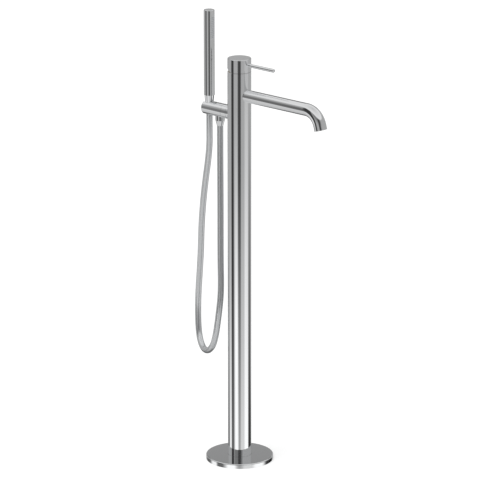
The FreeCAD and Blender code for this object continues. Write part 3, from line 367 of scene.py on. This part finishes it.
def deselect() -> None:
    """Leave edit mode with nothing selected."""
    if bpy.context.object and bpy.context.object.mode != "OBJECT":
        bpy.ops.object.mode_set(mode="OBJECT")
    bpy.ops.object.select_all(action="DESELECT")


def only(thing: bpy.types.Object) -> None:
    """Select one object and make it the active one.

    Args:
        thing: the object.
    """
    deselect()
    thing.select_set(True)
    bpy.context.view_layer.objects.active = thing


def started(name: str) -> bpy.types.Object:
    """Name the primitive that was just added.

    Args:
        name: name of the piece.

    Returns:
        The new object.
    """
    thing = bpy.context.object
    thing.name = name
    thing.data.name = name
    return thing


def pick_faces(thing: bpy.types.Object, wanted: Callable[[bpy.types.MeshPolygon], bool]) -> None:
    """Go into edit mode with only some faces selected.

    Args:
        thing: mesh object.
        wanted: tells by a face whether it is selected.
    """
    only(thing)
    for part in (*thing.data.vertices, *thing.data.edges):
        part.select = False
    for face in thing.data.polygons:
        face.select = wanted(face)
    bpy.ops.object.mode_set(mode="EDIT")
    bpy.ops.mesh.select_mode(type="FACE")


def settle(thing: bpy.types.Object) -> bpy.types.Object:
    """Put an object's place into its mesh.

    Args:
        thing: mesh object.

    Returns:
        The same object, at the origin.
    """
    only(thing)
    bpy.ops.object.transform_apply(location=True, rotation=True, scale=True)
    return thing


def copies(first: bpy.types.Object, places: list[Vector], name: str) -> bpy.types.Object:
    """Join a piece with copies of itself.

    Args:
        first: the piece modelled once, at the first place.
        places: how far each copy lies from the first piece.
        name: name of the joined piece.

    Returns:
        One object with all copies.
    """
    made = [first]
    for step in places:
        twin = first.copy()
        twin.data = first.data.copy()
        twin.data.transform(Matrix.Translation(step))
        bpy.context.collection.objects.link(twin)
        made.append(twin)
    only(first)
    for twin in made:
        twin.select_set(True)
    bpy.ops.object.join()
    return started(name)


def clothe(thing: bpy.types.Object, finish: Finish) -> None:
    """Give an object one finish.

    Args:
        thing: a CAD node's object or a new piece.
        finish: its finish.
    """
    made = finish.material()
    if not thing.material_slots:
        thing.data.materials.append(made)
    for spot in thing.material_slots:
        spot.material = made


# ---------------------------------------------------------------- sub-assemblies


@dataclass
class SubAssembly:
    """Pieces of the filler that are put together as one unit.

    Attributes:
        finishes: the CAD nodes of the unit with the finish of each.
    """

    finishes: dict[str, Finish]

    def build(self) -> list[bpy.types.Object]:
        """Model what the CAD nodes leave plain; the plain unit adds nothing."""
        return []

    def dress(self) -> list[str]:
        """Give each CAD node its finish.

        Returns:
            The names of the nodes.
        """
        for name, finish in self.finishes.items():
            clothe(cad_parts[name], finish)
        return sorted(self.finishes)


@dataclass
class FloorMount(SubAssembly):
    """Plate bolted to the floor, the foot that carries the column, and the cover over both."""

    finishes: dict[str, Finish] = field(default_factory=lambda: {
        "anchor_plate": STEEL, "column_foot": BRASS, "foot_screws": STEEL, "base_cover": CHROME})


@dataclass
class Column(SubAssembly):
    """The upright tube with the two supply tubes inside it."""

    finishes: dict[str, Finish] = field(default_factory=lambda: {
        "column_tube": CHROME, "hot_tail": COPPER, "cold_tail": COPPER, "hot_union": BRASS,
        "cold_union": BRASS})


@dataclass
class Cartridge(SubAssembly):
    """Valve body in the column's head, with the ceramic cartridge in it."""

    finishes: dict[str, Finish] = field(default_factory=lambda: {
        "valve_body": BRASS, "cartridge_base": CARTRIDGE_PLASTIC, "inlet_seals": RUBBER,
        "ceramic_disc_lower": CERAMIC, "ceramic_disc_upper": CERAMIC, "disc_carrier": CARTRIDGE_PLASTIC,
        "cartridge_housing": CARTRIDGE_PLASTIC, "cartridge_turret": CARTRIDGE_PLASTIC, "stem_pin": STEEL,
        "cartridge_nut": BRASS, "dome_cover": CHROME})


@dataclass
class Handle(SubAssembly):
    """Cap on the mixing stem with its thin lever."""

    finishes: dict[str, Finish] = field(default_factory=lambda: {
        "mixing_stem": BRASS, "handle_cap": CHROME, "lever": CHROME, "handle_screw": STEEL,
        "handle_plug": BLACK_PLASTIC})


@dataclass
class Spout(SubAssembly):
    """Spout tube with the aerator in its mouth.

    Attributes:
        turn_degrees: how far the water leaves from level, downwards.
        screen_mm: wire screen across.
        mesh_mm: wire to wire.
        wire_mm: thickness of a wire.
    """

    finishes: dict[str, Finish] = field(default_factory=lambda: {
        "spout_tube": CHROME, "spout_nipple": BRASS_ACROSS, "spout_seals": RUBBER,
        "aerator_housing": GREY_PLASTIC, "aerator_core": GREY_PLASTIC})
    turn_degrees: float = 74
    screen_mm: float = 22
    mesh_mm: float = 1.2
    wire_mm: float = 0.3

    def build(self) -> list[bpy.types.Object]:
        """Weave the wire screen and lay it on the aerator's outer face; see the base class."""
        low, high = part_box("aerator_core")
        tilt = math.radians(self.turn_degrees)
        ahead = Vector((math.cos(tilt), 0, -math.sin(tilt)))
        radius = self.screen_mm / 2 * MM
        # The core is a short cylinder, so its box is as high as its turned outline.
        core_length = (high.z - low.z - 2 * radius * abs(ahead.x)) / abs(ahead.z)
        deselect()
        count = round(self.screen_mm / self.mesh_mm)
        bpy.ops.mesh.primitive_grid_add(x_subdivisions=count, y_subdivisions=count, size=self.screen_mm * MM)
        screen = started("aerator_screen")
        pick_faces(screen, lambda face: face.center.length > radius - self.mesh_mm / 2 * MM)
        bpy.ops.mesh.delete(type="FACE")
        bpy.ops.object.mode_set(mode="OBJECT")
        wires = screen.modifiers.new("wires", "WIREFRAME")
        wires.thickness = self.wire_mm * MM
        bpy.ops.object.modifier_apply(modifier=wires.name)
        screen.rotation_euler = (0, math.pi / 2 + tilt, 0)
        screen.location = (low + high) / 2 + ahead * (core_length / 2 + self.wire_mm * MM)
        settle(screen)
        clothe(screen, STEEL)
        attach(screen, "stand")
        return [screen]


@dataclass
class HolderArm(SubAssembly):
    """Arm that carries the handset, with the diverter ring and the hose outlet."""

    finishes: dict[str, Finish] = field(default_factory=lambda: {
        "arm_stub": BRASS_ACROSS, "arm_seals": RUBBER, "root_collar": CHROME, "diverter_ring": CHROME,
        "diverter_shutter": BLACK_PLASTIC, "holder_arm": CHROME, "hose_outlet": CHROME,
        "check_valve": BLACK_PLASTIC})


class FarEnd(Enum):
    """What the hose ends in."""

    FITTING = "fitting"


class Lay(Enum):
    """How the hose lies."""

    HANGING = "hanging"


@dataclass
class Hose(SubAssembly):
    """Hose that hangs in one loop from the outlet to the handset, with its nuts and washers.

    The route was fitted by a program to the loop in the photograph, and not chosen by hand. Its depth
    towards the viewer is a guess.

    Attributes:
        route_mm: control points of its line, from the outlet to the handset, the same as in the source.
        diameter_mm: outside diameter.
        length_mm: real length; not used.
        sides: faces round the hose.
        straight_mm: height over which the hose follows what holds it; not used.
        line_steps: points of the line for each control point.
        seam_mm: corners of the two strands that are this close become one.
        smooth_degrees: edges flatter than this are shaded smooth.
    """

    finishes: dict[str, Finish] = field(default_factory=lambda: {
        "lower_washer": RUBBER, "hose_nut_lower": CHROME, "hose_nut_upper": CHROME, "upper_washer": RUBBER})
    route_mm: tuple[tuple[float, float, float], ...] = (
        (-57.4, 0, 759.1), (-57.4, 0, 692.1), (-52.5, -4.5, 576), (-48.8, -9, 461), (-42.2, -14, 389),
        (-41.6, -20.8, 343), (-54, -22.4, 264), (-85.4, -9.5, 233), (-120, 7.7, 229), (-151.2, 27.2, 255),
        (-156.5, 31.7, 333), (-141.5, 23, 410), (-132.4, 17, 463), (-124.7, 11, 524), (-111.6, 6, 602),
        (-92.1, 3, 696), (-89.3, 0, 751), (-89.3, 0, 783))
    diameter_mm: float = 14
    length_mm: float = 1155
    sides: int = 24
    straight_mm: float = 700
    line_steps: int = 16
    seam_mm: float = 0.001
    smooth_degrees: float = 50

    def line(self) -> list[Vector]:
        """Lay the NURBS line through the route and read its points.

        Returns:
            Points along the hose's centre, in metres.
        """
        curve = bpy.data.curves.new("hose_line", "CURVE")
        curve.dimensions = "3D"
        curve.resolution_u = self.line_steps
        spline = curve.splines.new("NURBS")
        spline.points.add(len(self.route_mm) - 1)
        for point, at in zip(spline.points, self.route_mm):
            point.co = (*(value * MM for value in at), 1.0)
        spline.order_u = 3
        spline.use_endpoint_u = True
        holder = bpy.data.objects.new("hose_line", curve)
        bpy.context.collection.objects.link(holder)
        bpy.context.view_layer.update()
        read = bpy.data.meshes.new_from_object(holder)
        points = [vertex.co.copy() for vertex in read.vertices]
        bpy.data.objects.remove(holder)
        bpy.data.meshes.remove(read)
        bpy.data.curves.remove(curve)
        return points

    def sweep(self, points: list[Vector]) -> tuple[list[Vector], list[float]]:
        """Lay a ring of corners round each point of the line.

        Args:
            points: the hose's centre.

        Returns:
            The corners ring by ring, and the length of hose up to each ring.
        """
        tangents = [(points[min(i + 1, len(points) - 1)] - points[max(i - 1, 0)]).normalized()
                    for i in range(len(points))]
        side = tangents[0].cross(Vector((0, 1, 0))).normalized()
        corners: list[Vector] = []
        lengths = [0.0]
        for i, (point, tangent) in enumerate(zip(points, tangents)):
            side = (side - tangent * side.dot(tangent)).normalized()
            other = tangent.cross(side)
            if i:
                lengths.append(lengths[-1] + (point - points[i - 1]).length)
            for turn in range(self.sides):
                angle = math.tau * turn / self.sides
                away = side * math.cos(angle) + other * math.sin(angle)
                corners.append(point + away * self.diameter_mm / 2 * MM)
        return corners, lengths

    def strand(self, name: str, corners: list[Vector], lengths: list[float], cap: int) -> bpy.types.Object:
        """Skin one strand of the hose, with a UV map in turns and millimetres.

        Args:
            name: name of the strand.
            corners: its corners, ring by ring.
            lengths: length of hose up to each ring.
            cap: number of the ring that is closed.

        Returns:
            The strand.
        """
        faces, marks = [], []
        for ring in range(len(lengths) - 1):
            low, high = lengths[ring] / MM, lengths[ring + 1] / MM
            for turn in range(self.sides):
                here = ring * self.sides + turn
                beside = ring * self.sides + (turn + 1) % self.sides
                faces.append((here, beside, beside + self.sides, here + self.sides))
                left, right = turn / self.sides, (turn + 1) / self.sides
                marks += [(left, low), (right, low), (right, high), (left, high)]
        rim = range(cap * self.sides, (cap + 1) * self.sides)
        faces.append(tuple(rim) if cap else tuple(reversed(rim)))
        marks += [(0.0, 0.0)] * self.sides
        mesh = bpy.data.meshes.new(name)
        mesh.from_pydata([tuple(corner) for corner in corners], [], faces)
        layer = mesh.uv_layers.new(name="HoseUV")
        for loop, mark in zip(layer.data, marks):
            loop.uv = mark
        strand = bpy.data.objects.new(name, mesh)
        bpy.context.collection.objects.link(strand)
        return strand

    def build(self) -> list[bpy.types.Object]:
        """Make the hose from the strand that hangs and the strand that rises; see the base class.
        """
        points = self.line()
        corners, lengths = self.sweep(points)
        lowest = min(range(len(points)), key=lambda i: points[i].z)
        hanging = self.strand("hose_hanging", corners[:(lowest + 1) * self.sides], lengths[:lowest + 1], 0)
        hose = self.strand("hose_sleeve", corners[lowest * self.sides:], lengths[lowest:],
                           len(points) - 1 - lowest)
        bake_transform(hanging)
        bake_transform(hose)
        only(hose)
        hanging.select_set(True)
        bpy.ops.object.join()
        pick_faces(hose, lambda face: True)
        bpy.ops.mesh.remove_doubles(threshold=self.seam_mm * MM)
        bpy.ops.object.mode_set(mode="OBJECT")
        bpy.ops.object.shade_smooth_by_angle(angle=math.radians(self.smooth_degrees))
        clothe(hose, SLEEVE)
        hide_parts("hose")
        return [hose]


@dataclass
class Handset(SubAssembly):
    """Round stick handset with a flat spray face and rows of soft nozzles.

    Attributes:
        columns: nozzles across the face.
        rows: nozzles up the face.
        pitch_mm: nozzle to nozzle.
        nozzle_mm: nozzle across, at its foot.
        proud_mm: how far a nozzle stands out of its plate.
        bore_mm: hole in a nozzle's tip.
        foot_mm: how deep a nozzle stands in its plate.
        nozzle_sides: faces round a nozzle.
        tip_rings: rings of the rounded tip, each with its rise as a share of proud_mm and its width as a
            share of nozzle_mm.
        smooth_degrees: edges flatter than this are shaded smooth.
    """

    finishes: dict[str, Finish] = field(default_factory=lambda: {
        "handset_body": CHROME, "handset_waterway": BLACK_PLASTIC, "handset_spigot": BRASS,
        "spray_plate": PALE_PLASTIC})
    columns: int = 3
    rows: int = 12
    pitch_mm: float = 4
    nozzle_mm: float = 1.8
    proud_mm: float = 0.7
    bore_mm: float = 0.7
    foot_mm: float = 0.6
    nozzle_sides: int = 10
    tip_rings: tuple[tuple[float, float], ...] = ((0.62, 0.84), (0.33, 0.72), (0.05, 0.52))
    smooth_degrees: float = 40

    def nozzle(self, at: Vector) -> bpy.types.Object:
        """Model one nozzle that points along X.

        Args:
            at: where its axis leaves the plate.

        Returns:
            The nozzle, with a rounded tip and its hole.
        """
        deselect()
        foot = self.foot_mm * MM
        bpy.ops.mesh.primitive_cylinder_add(
            vertices=self.nozzle_sides, radius=self.nozzle_mm / 2 * MM, depth=foot,
            location=at - Vector((foot / 2, 0, 0)), rotation=(0, math.pi / 2, 0))
        tip = settle(started("nozzle"))
        pick_faces(tip, lambda face: face.normal.x > 0.9)
        before = 1.0
        for rise, width in self.tip_rings:
            step = (rise * self.proud_mm * MM, 0, 0)
            bpy.ops.mesh.extrude_region_move(TRANSFORM_OT_translate={"value": step})
            share = width / before
            bpy.ops.transform.resize(value=(1, share, share), center_override=at)
            before = width
        bpy.ops.mesh.inset(thickness=(self.nozzle_mm * before - self.bore_mm) / 2 * MM)
        bpy.ops.mesh.extrude_region_move(TRANSFORM_OT_translate={"value": (-self.proud_mm * MM, 0, 0)})
        bpy.ops.object.mode_set(mode="OBJECT")
        bpy.ops.object.shade_smooth_by_angle(angle=math.radians(self.smooth_degrees))
        return tip

    def build(self) -> list[bpy.types.Object]:
        """Set the nozzles in their plate, which carries them as the CAD nozzles; see the base class."""
        low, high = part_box("spray_plate")
        middle = (low + high) / 2
        pitch = self.pitch_mm * MM
        side = middle.y - (self.columns - 1) / 2 * pitch
        lowest = middle.z - (self.rows - 1) / 2 * pitch
        first = Vector((high.x, side, lowest))
        places = [Vector((0, column * pitch, row * pitch)) for column in range(self.columns)
                  for row in range(self.rows) if column or row]
        nozzles = copies(self.nozzle(first), places, "spray_nozzle_field")
        clothe(nozzles, SILICONE)
        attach(nozzles, "handset")
        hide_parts("spray_nozzles")
        return [nozzles]


# ---------------------------------------------------------------- studio


@dataclass
class Camera:
    """Camera with the photograph's viewing angle, fitted by a program to edges measured in the photograph.

    How far away it stands was chosen, because the photograph hardly tells.

    Attributes:
        place: where it stands, in metres.
        aim_height: height on the column's axis that it looks at, before it turns to one side.
        column_left_px: how far left of the picture's middle the column's axis shows.
        focal_px: focal length in pixels of the picture.
        sight_m: how far it sees.
    """

    place: tuple[float, float, float] = (5.1546, -5.5848, 2.7673)
    aim_height: float = 0.4851
    column_left_px: float = 10.51
    focal_px: float = 3603.9
    sight_m: float = 100

    def build(self) -> None:
        """Add the camera and make it the scene's."""
        data = bpy.data.cameras.new("camera")
        data.sensor_width = SENSOR_MM
        data.lens = self.focal_px / PICTURE_PX * SENSOR_MM
        data.clip_end = self.sight_m
        camera = bpy.data.objects.new("camera", data)
        bpy.context.collection.objects.link(camera)
        ahead = (Vector((0, 0, self.aim_height)) - Vector(self.place)).normalized()
        right = ahead.cross(Vector((0, 0, 1))).normalized()
        turn = math.atan2(self.column_left_px, self.focal_px)
        ahead = (ahead * math.cos(turn) + right * math.sin(turn)).normalized()
        right = ahead.cross(Vector((0, 0, 1))).normalized()
        up = right.cross(ahead)
        axes = Matrix((right, up, -ahead)).transposed().to_4x4()
        camera.matrix_world = Matrix.Translation(self.place) @ axes
        bpy.context.scene.camera = camera


@dataclass(frozen=True)
class Panel:
    """A lit bank or a black flag that stands round the object and shows in the chrome.

    Angles are in degrees. Azimuths count from the camera's side of the column, positive to the viewer's
    right.

    Attributes:
        grey: how bright it shows in chrome.
        middle: azimuth of its middle.
        half: half its width where it is even.
        soft: width of the soft edge on each side.
        full: height over the horizon from which it is there in full.
        gone: height at which it has faded out.
    """

    grey: str
    middle: float
    half: float
    soft: float
    full: float
    gone: float

    def over(self, tree: bpy.types.NodeTree, azimuth: bpy.types.NodeSocket, level: bpy.types.NodeSocket,
             wall: bpy.types.NodeSocket) -> bpy.types.NodeSocket:
        """Put the panel in front of the wall.

        Args:
            tree: the world's nodes.
            azimuth: direction round the horizon, 0 to 1.
            level: direction by height, 0 straight down to 1 straight up.
            wall: the wall so far, coded as the eye sees it.

        Returns:
            The output that carries the wall with the panel.
        """
        away = add_node(tree, "Math", {0: azimuth, 1: azimuth_of(self.middle)}, operation="SUBTRACT")
        away = add_node(tree, "Math", {0: away.outputs[0], 1: 0.5}, operation="PINGPONG")
        even, edge = self.half / 360, (self.half + self.soft) / 360
        across = add_node(tree, "MapRange", {"Value": away.outputs[0], "From Min": edge, "From Max": even},
                          interpolation_type="SMOOTHSTEP")
        upright = add_node(tree, "MapRange", {
            "Value": level, "From Min": level_of(self.gone), "From Max": level_of(self.full)})
        share = add_node(tree, "Math", {0: across.outputs["Result"], 1: upright.outputs["Result"]},
                         operation="MULTIPLY")
        shown = tuple(value ** (1 / EYE_GAMMA) for value in linear(self.grey))
        # The colour sockets of a Mix node stand behind its number sockets, which have the same names.
        return add_node(tree, "Mix", {0: share.outputs[0], 6: wall, 7: shown}, data_type="RGBA").outputs[2]


@dataclass
class Studio:
    """Pale studio: a white sweep for the camera, and the banks and flags that the chrome mirrors.

    The column mirrors what lies 14 degrees below the horizon at its head and 20 degrees below at its foot,
    so the studio gets paler on the way down. Heights are in degrees over the horizon. The panels and greys
    were changed until the chrome's grey levels came near those read from the photograph.

    Attributes:
        camera_side: compass angle from the column to the camera, from X towards Y.
        chrome_gain: strength that makes up for the light that chrome loses.
        wall: grey of the wall behind the panels.
        reach: heights at which the wall begins, is full, is still full and ends.
        panels: the panels from the back to the front.
        above_and_below: greys by height over and under the wall.
        behind: how much of these is left behind the object, round and under the horizon.
        behind_fade: heights from which and to which that comes in, on the way down.
        fill: strength of the even light on what isn't mirrored.
        floor_m: floor, across.
        floor_cuts: cuts across the floor each way.
        paper: colour of the floor.
        paper_glow: what is added for the camera, so that the lit floor shows white.
        lamp_strength: strength of the overhead lamp.
        lamp_spread: its angle across, in degrees.
        lamp_tilt: how far it leans about X and Y, in degrees.
    """

    camera_side: float = -47.3
    chrome_gain: float = 1.19
    wall: str = "#A5A5A5"
    reach: tuple[float, float, float, float] = (-25.5, -20.5, 31, 37)
    panels: tuple[Panel, ...] = (
        Panel("#D6D6D6", 38, 20, 20, -20, -15.5),
        Panel("#F6F6F6", -98, 6, 16, -20, -16),
        Panel("#606060", -135, 10, 12, -20, -17.8),
        Panel("#FFFFFF", 71, 11, 20, -19.5, -12.5),
        Panel("#FFFFFF", -29, 10, 18, -18, -14.5),
        Panel("#343434", 118, 9, 14, -20, -14.2),
        Panel("#161616", 136, 8, 8, -20.3, -18.6),
        Panel("#787878", -12, 32, 14, 18, 4),
        Panel("#4C4C4C", 180, 24, 14, 25, 18),
        Panel("#404040", -1, 7, 14, -15.5, -20.5),
        Panel("#363636", -71, 7, 12, -17, -25))
    above_and_below: tuple[tuple[float, str], ...] = (
        (-90, "#B0B0B0"), (-48, "#D0D0D0"), (-25, "#D0D0D0"), (0, "#C0C0C0"), (26, "#C0C0C0"),
        (40, "#DCDCDC"), (60, "#D4D4D4"), (90, "#C0C0C0"))
    behind: tuple[tuple[float, str], ...] = (
        (-180, "#7C7C7C"), (-142, "#606060"), (-114, "#F0F0F0"), (114, "#FFFFFF"), (140, "#A8A8A8"),
        (180, "#7C7C7C"))
    behind_fade: tuple[float, float] = (9, -9)
    fill: float = 0.72
    floor_m: float = 16
    floor_cuts: int = 6
    paper: str = "#C8C8C8"
    paper_glow: float = 0.5
    lamp_strength: float = 1.1
    lamp_spread: float = 40
    lamp_tilt: tuple[float, float] = (24, -12)

    def world(self) -> None:
        """Light the scene evenly, show white to the camera and the studio to the metal."""
        world = bpy.data.worlds.new("studio")
        bpy.context.scene.world = world
        world.use_nodes = True
        tree = world.node_tree
        tree.nodes.clear()
        way = add_node(tree, "SeparateXYZ", {"Vector": add_node(tree, "TexCoord").outputs["Generated"]})
        compass = add_node(tree, "Math", {0: way.outputs["Y"], 1: way.outputs["X"]}, operation="ARCTAN2")
        away_from_camera = azimuth_of(-self.camera_side)
        turned = add_node(tree, "Math", {0: compass.outputs[0], 1: 1 / math.tau, 2: away_from_camera},
                          operation="MULTIPLY_ADD")
        azimuth = add_node(tree, "Math", {0: turned.outputs[0]}, operation="FRACT").outputs[0]
        rise = add_node(tree, "Math", {0: way.outputs["Z"]}, operation="ARCSINE")
        level = add_node(tree, "Math", {0: rise.outputs[0], 1: 1 / math.pi, 2: level_of(0)},
                         operation="MULTIPLY_ADD").outputs[0]
        band = add_node(tree, "ValToRGB", {"Fac": level})
        fill_ramp(band.color_ramp, [(level_of(height), grey) for height, grey in self.above_and_below])
        back = add_node(tree, "ValToRGB", {"Fac": azimuth})
        fill_ramp(back.color_ramp, [(azimuth_of(angle), grey) for angle, grey in self.behind])
        fade_from, fade_to = self.behind_fade
        under = add_node(tree, "MapRange", {
            "Value": level, "From Min": level_of(fade_from), "From Max": level_of(fade_to)})
        kept = add_node(tree, "Mix", {
            0: under.outputs["Result"], 6: linear("#FFFFFF"), 7: back.outputs["Color"]}, data_type="RGBA")
        band = add_node(tree, "VectorMath", {0: band.outputs["Color"], 1: kept.outputs[2]},
                        operation="MULTIPLY")
        # The greys are mixed as the eye sees them, so a dark flag stays dark until late.
        wall = add_node(tree, "RGB").outputs[0]
        wall.default_value = tuple(value ** (1 / EYE_GAMMA) for value in linear(self.wall))
        for panel in self.panels:
            wall = panel.over(tree, azimuth, level, wall)
        wall = add_node(tree, "Gamma", {"Color": wall, "Gamma": EYE_GAMMA}).outputs["Color"]
        reach = add_node(tree, "ValToRGB", {"Fac": level})
        fill_ramp(reach.color_ramp, [(level_of(height), colour) for height, colour
                                     in zip(self.reach, ("#000000", "#FFFFFF", "#FFFFFF", "#000000"))])
        studio = add_node(tree, "Mix", {0: reach.outputs["Color"], 6: band.outputs["Vector"], 7: wall},
                          data_type="RGBA").outputs[2]
        rays = add_node(tree, "LightPath")
        seen = add_node(tree, "Background", {"Color": linear("#FFFFFF"), "Strength": 1.0})
        mirrored = add_node(tree, "Background", {"Color": studio, "Strength": self.chrome_gain})
        lit = add_node(tree, "Background", {"Color": linear("#FFFFFF"), "Strength": self.fill})
        plain = add_node(tree, "MixShader", {"Fac": rays.outputs["Is Glossy Ray"], 1: lit.outputs[0],
                                             2: mirrored.outputs[0]})
        out = add_node(tree, "MixShader", {"Fac": rays.outputs["Is Camera Ray"], 1: plain.outputs[0],
                                           2: seen.outputs[0]})
        add_node(tree, "OutputWorld", {"Surface": out.outputs[0]})

    def floor(self) -> None:
        """Add the pale floor, which takes the filler's shadow and shows white where it is lit."""
        deselect()
        bpy.ops.mesh.primitive_plane_add(size=self.floor_m)
        floor = settle(started("studio_floor"))
        pick_faces(floor, lambda face: True)
        bpy.ops.mesh.subdivide(number_cuts=self.floor_cuts)
        bpy.ops.object.mode_set(mode="OBJECT")
        paper = bpy.data.materials.new("matt_studio_paper")
        paper.use_nodes = True
        tree = paper.node_tree
        tree.nodes.clear()
        rays = add_node(tree, "LightPath")
        matt = add_node(tree, "BsdfDiffuse", {"Color": linear(self.paper)})
        glow = add_node(tree, "Emission", {"Color": linear("#FFFFFF")})
        share = add_node(tree, "Math", {0: rays.outputs["Is Camera Ray"], 1: self.paper_glow},
                         operation="MULTIPLY")
        tree.links.new(share.outputs[0], glow.inputs["Strength"])
        both = add_node(tree, "AddShader", {0: matt.outputs[0], 1: glow.outputs[0]})
        add_node(tree, "OutputMaterial", {"Surface": both.outputs[0]})
        floor.data.materials.append(paper)
        # The studio that the chrome mirrors lies in the world, so mirrored rays pass the paper.
        floor.visible_glossy = False

    def lamp(self) -> None:
        """Add the soft overhead lamp, which the metal does not mirror."""
        data = bpy.data.lights.new("overhead_softbox", "SUN")
        data.energy = self.lamp_strength
        data.angle = math.radians(self.lamp_spread)
        lamp = bpy.data.objects.new("overhead_softbox", data)
        bpy.context.collection.objects.link(lamp)
        lean, roll = self.lamp_tilt
        lamp.rotation_euler = (math.radians(lean), math.radians(roll), 0)
        lamp.visible_glossy = False

    def build(self) -> None:
        """Set up world, floor and lamp."""
        self.world()
        self.floor()
        self.lamp()
        bpy.context.scene.view_settings.view_transform = "Standard"


def main() -> None:
    """Build the sub-assemblies in order, dress them and set up the studio."""
    logging.basicConfig(level=logging.INFO, format="%(message)s")
    Camera().build()
    for unit in (Hose(), FloorMount(), Column(), Cartridge(), Handle(), Spout(), HolderArm(), Handset()):
        made = unit.build()
        nodes = unit.dress()
        LOG.info("%s: new %s, dressed %s", type(unit).__name__, [piece.name for piece in made], nodes)
    Studio().build()


if __name__ == "__main__":
    main()
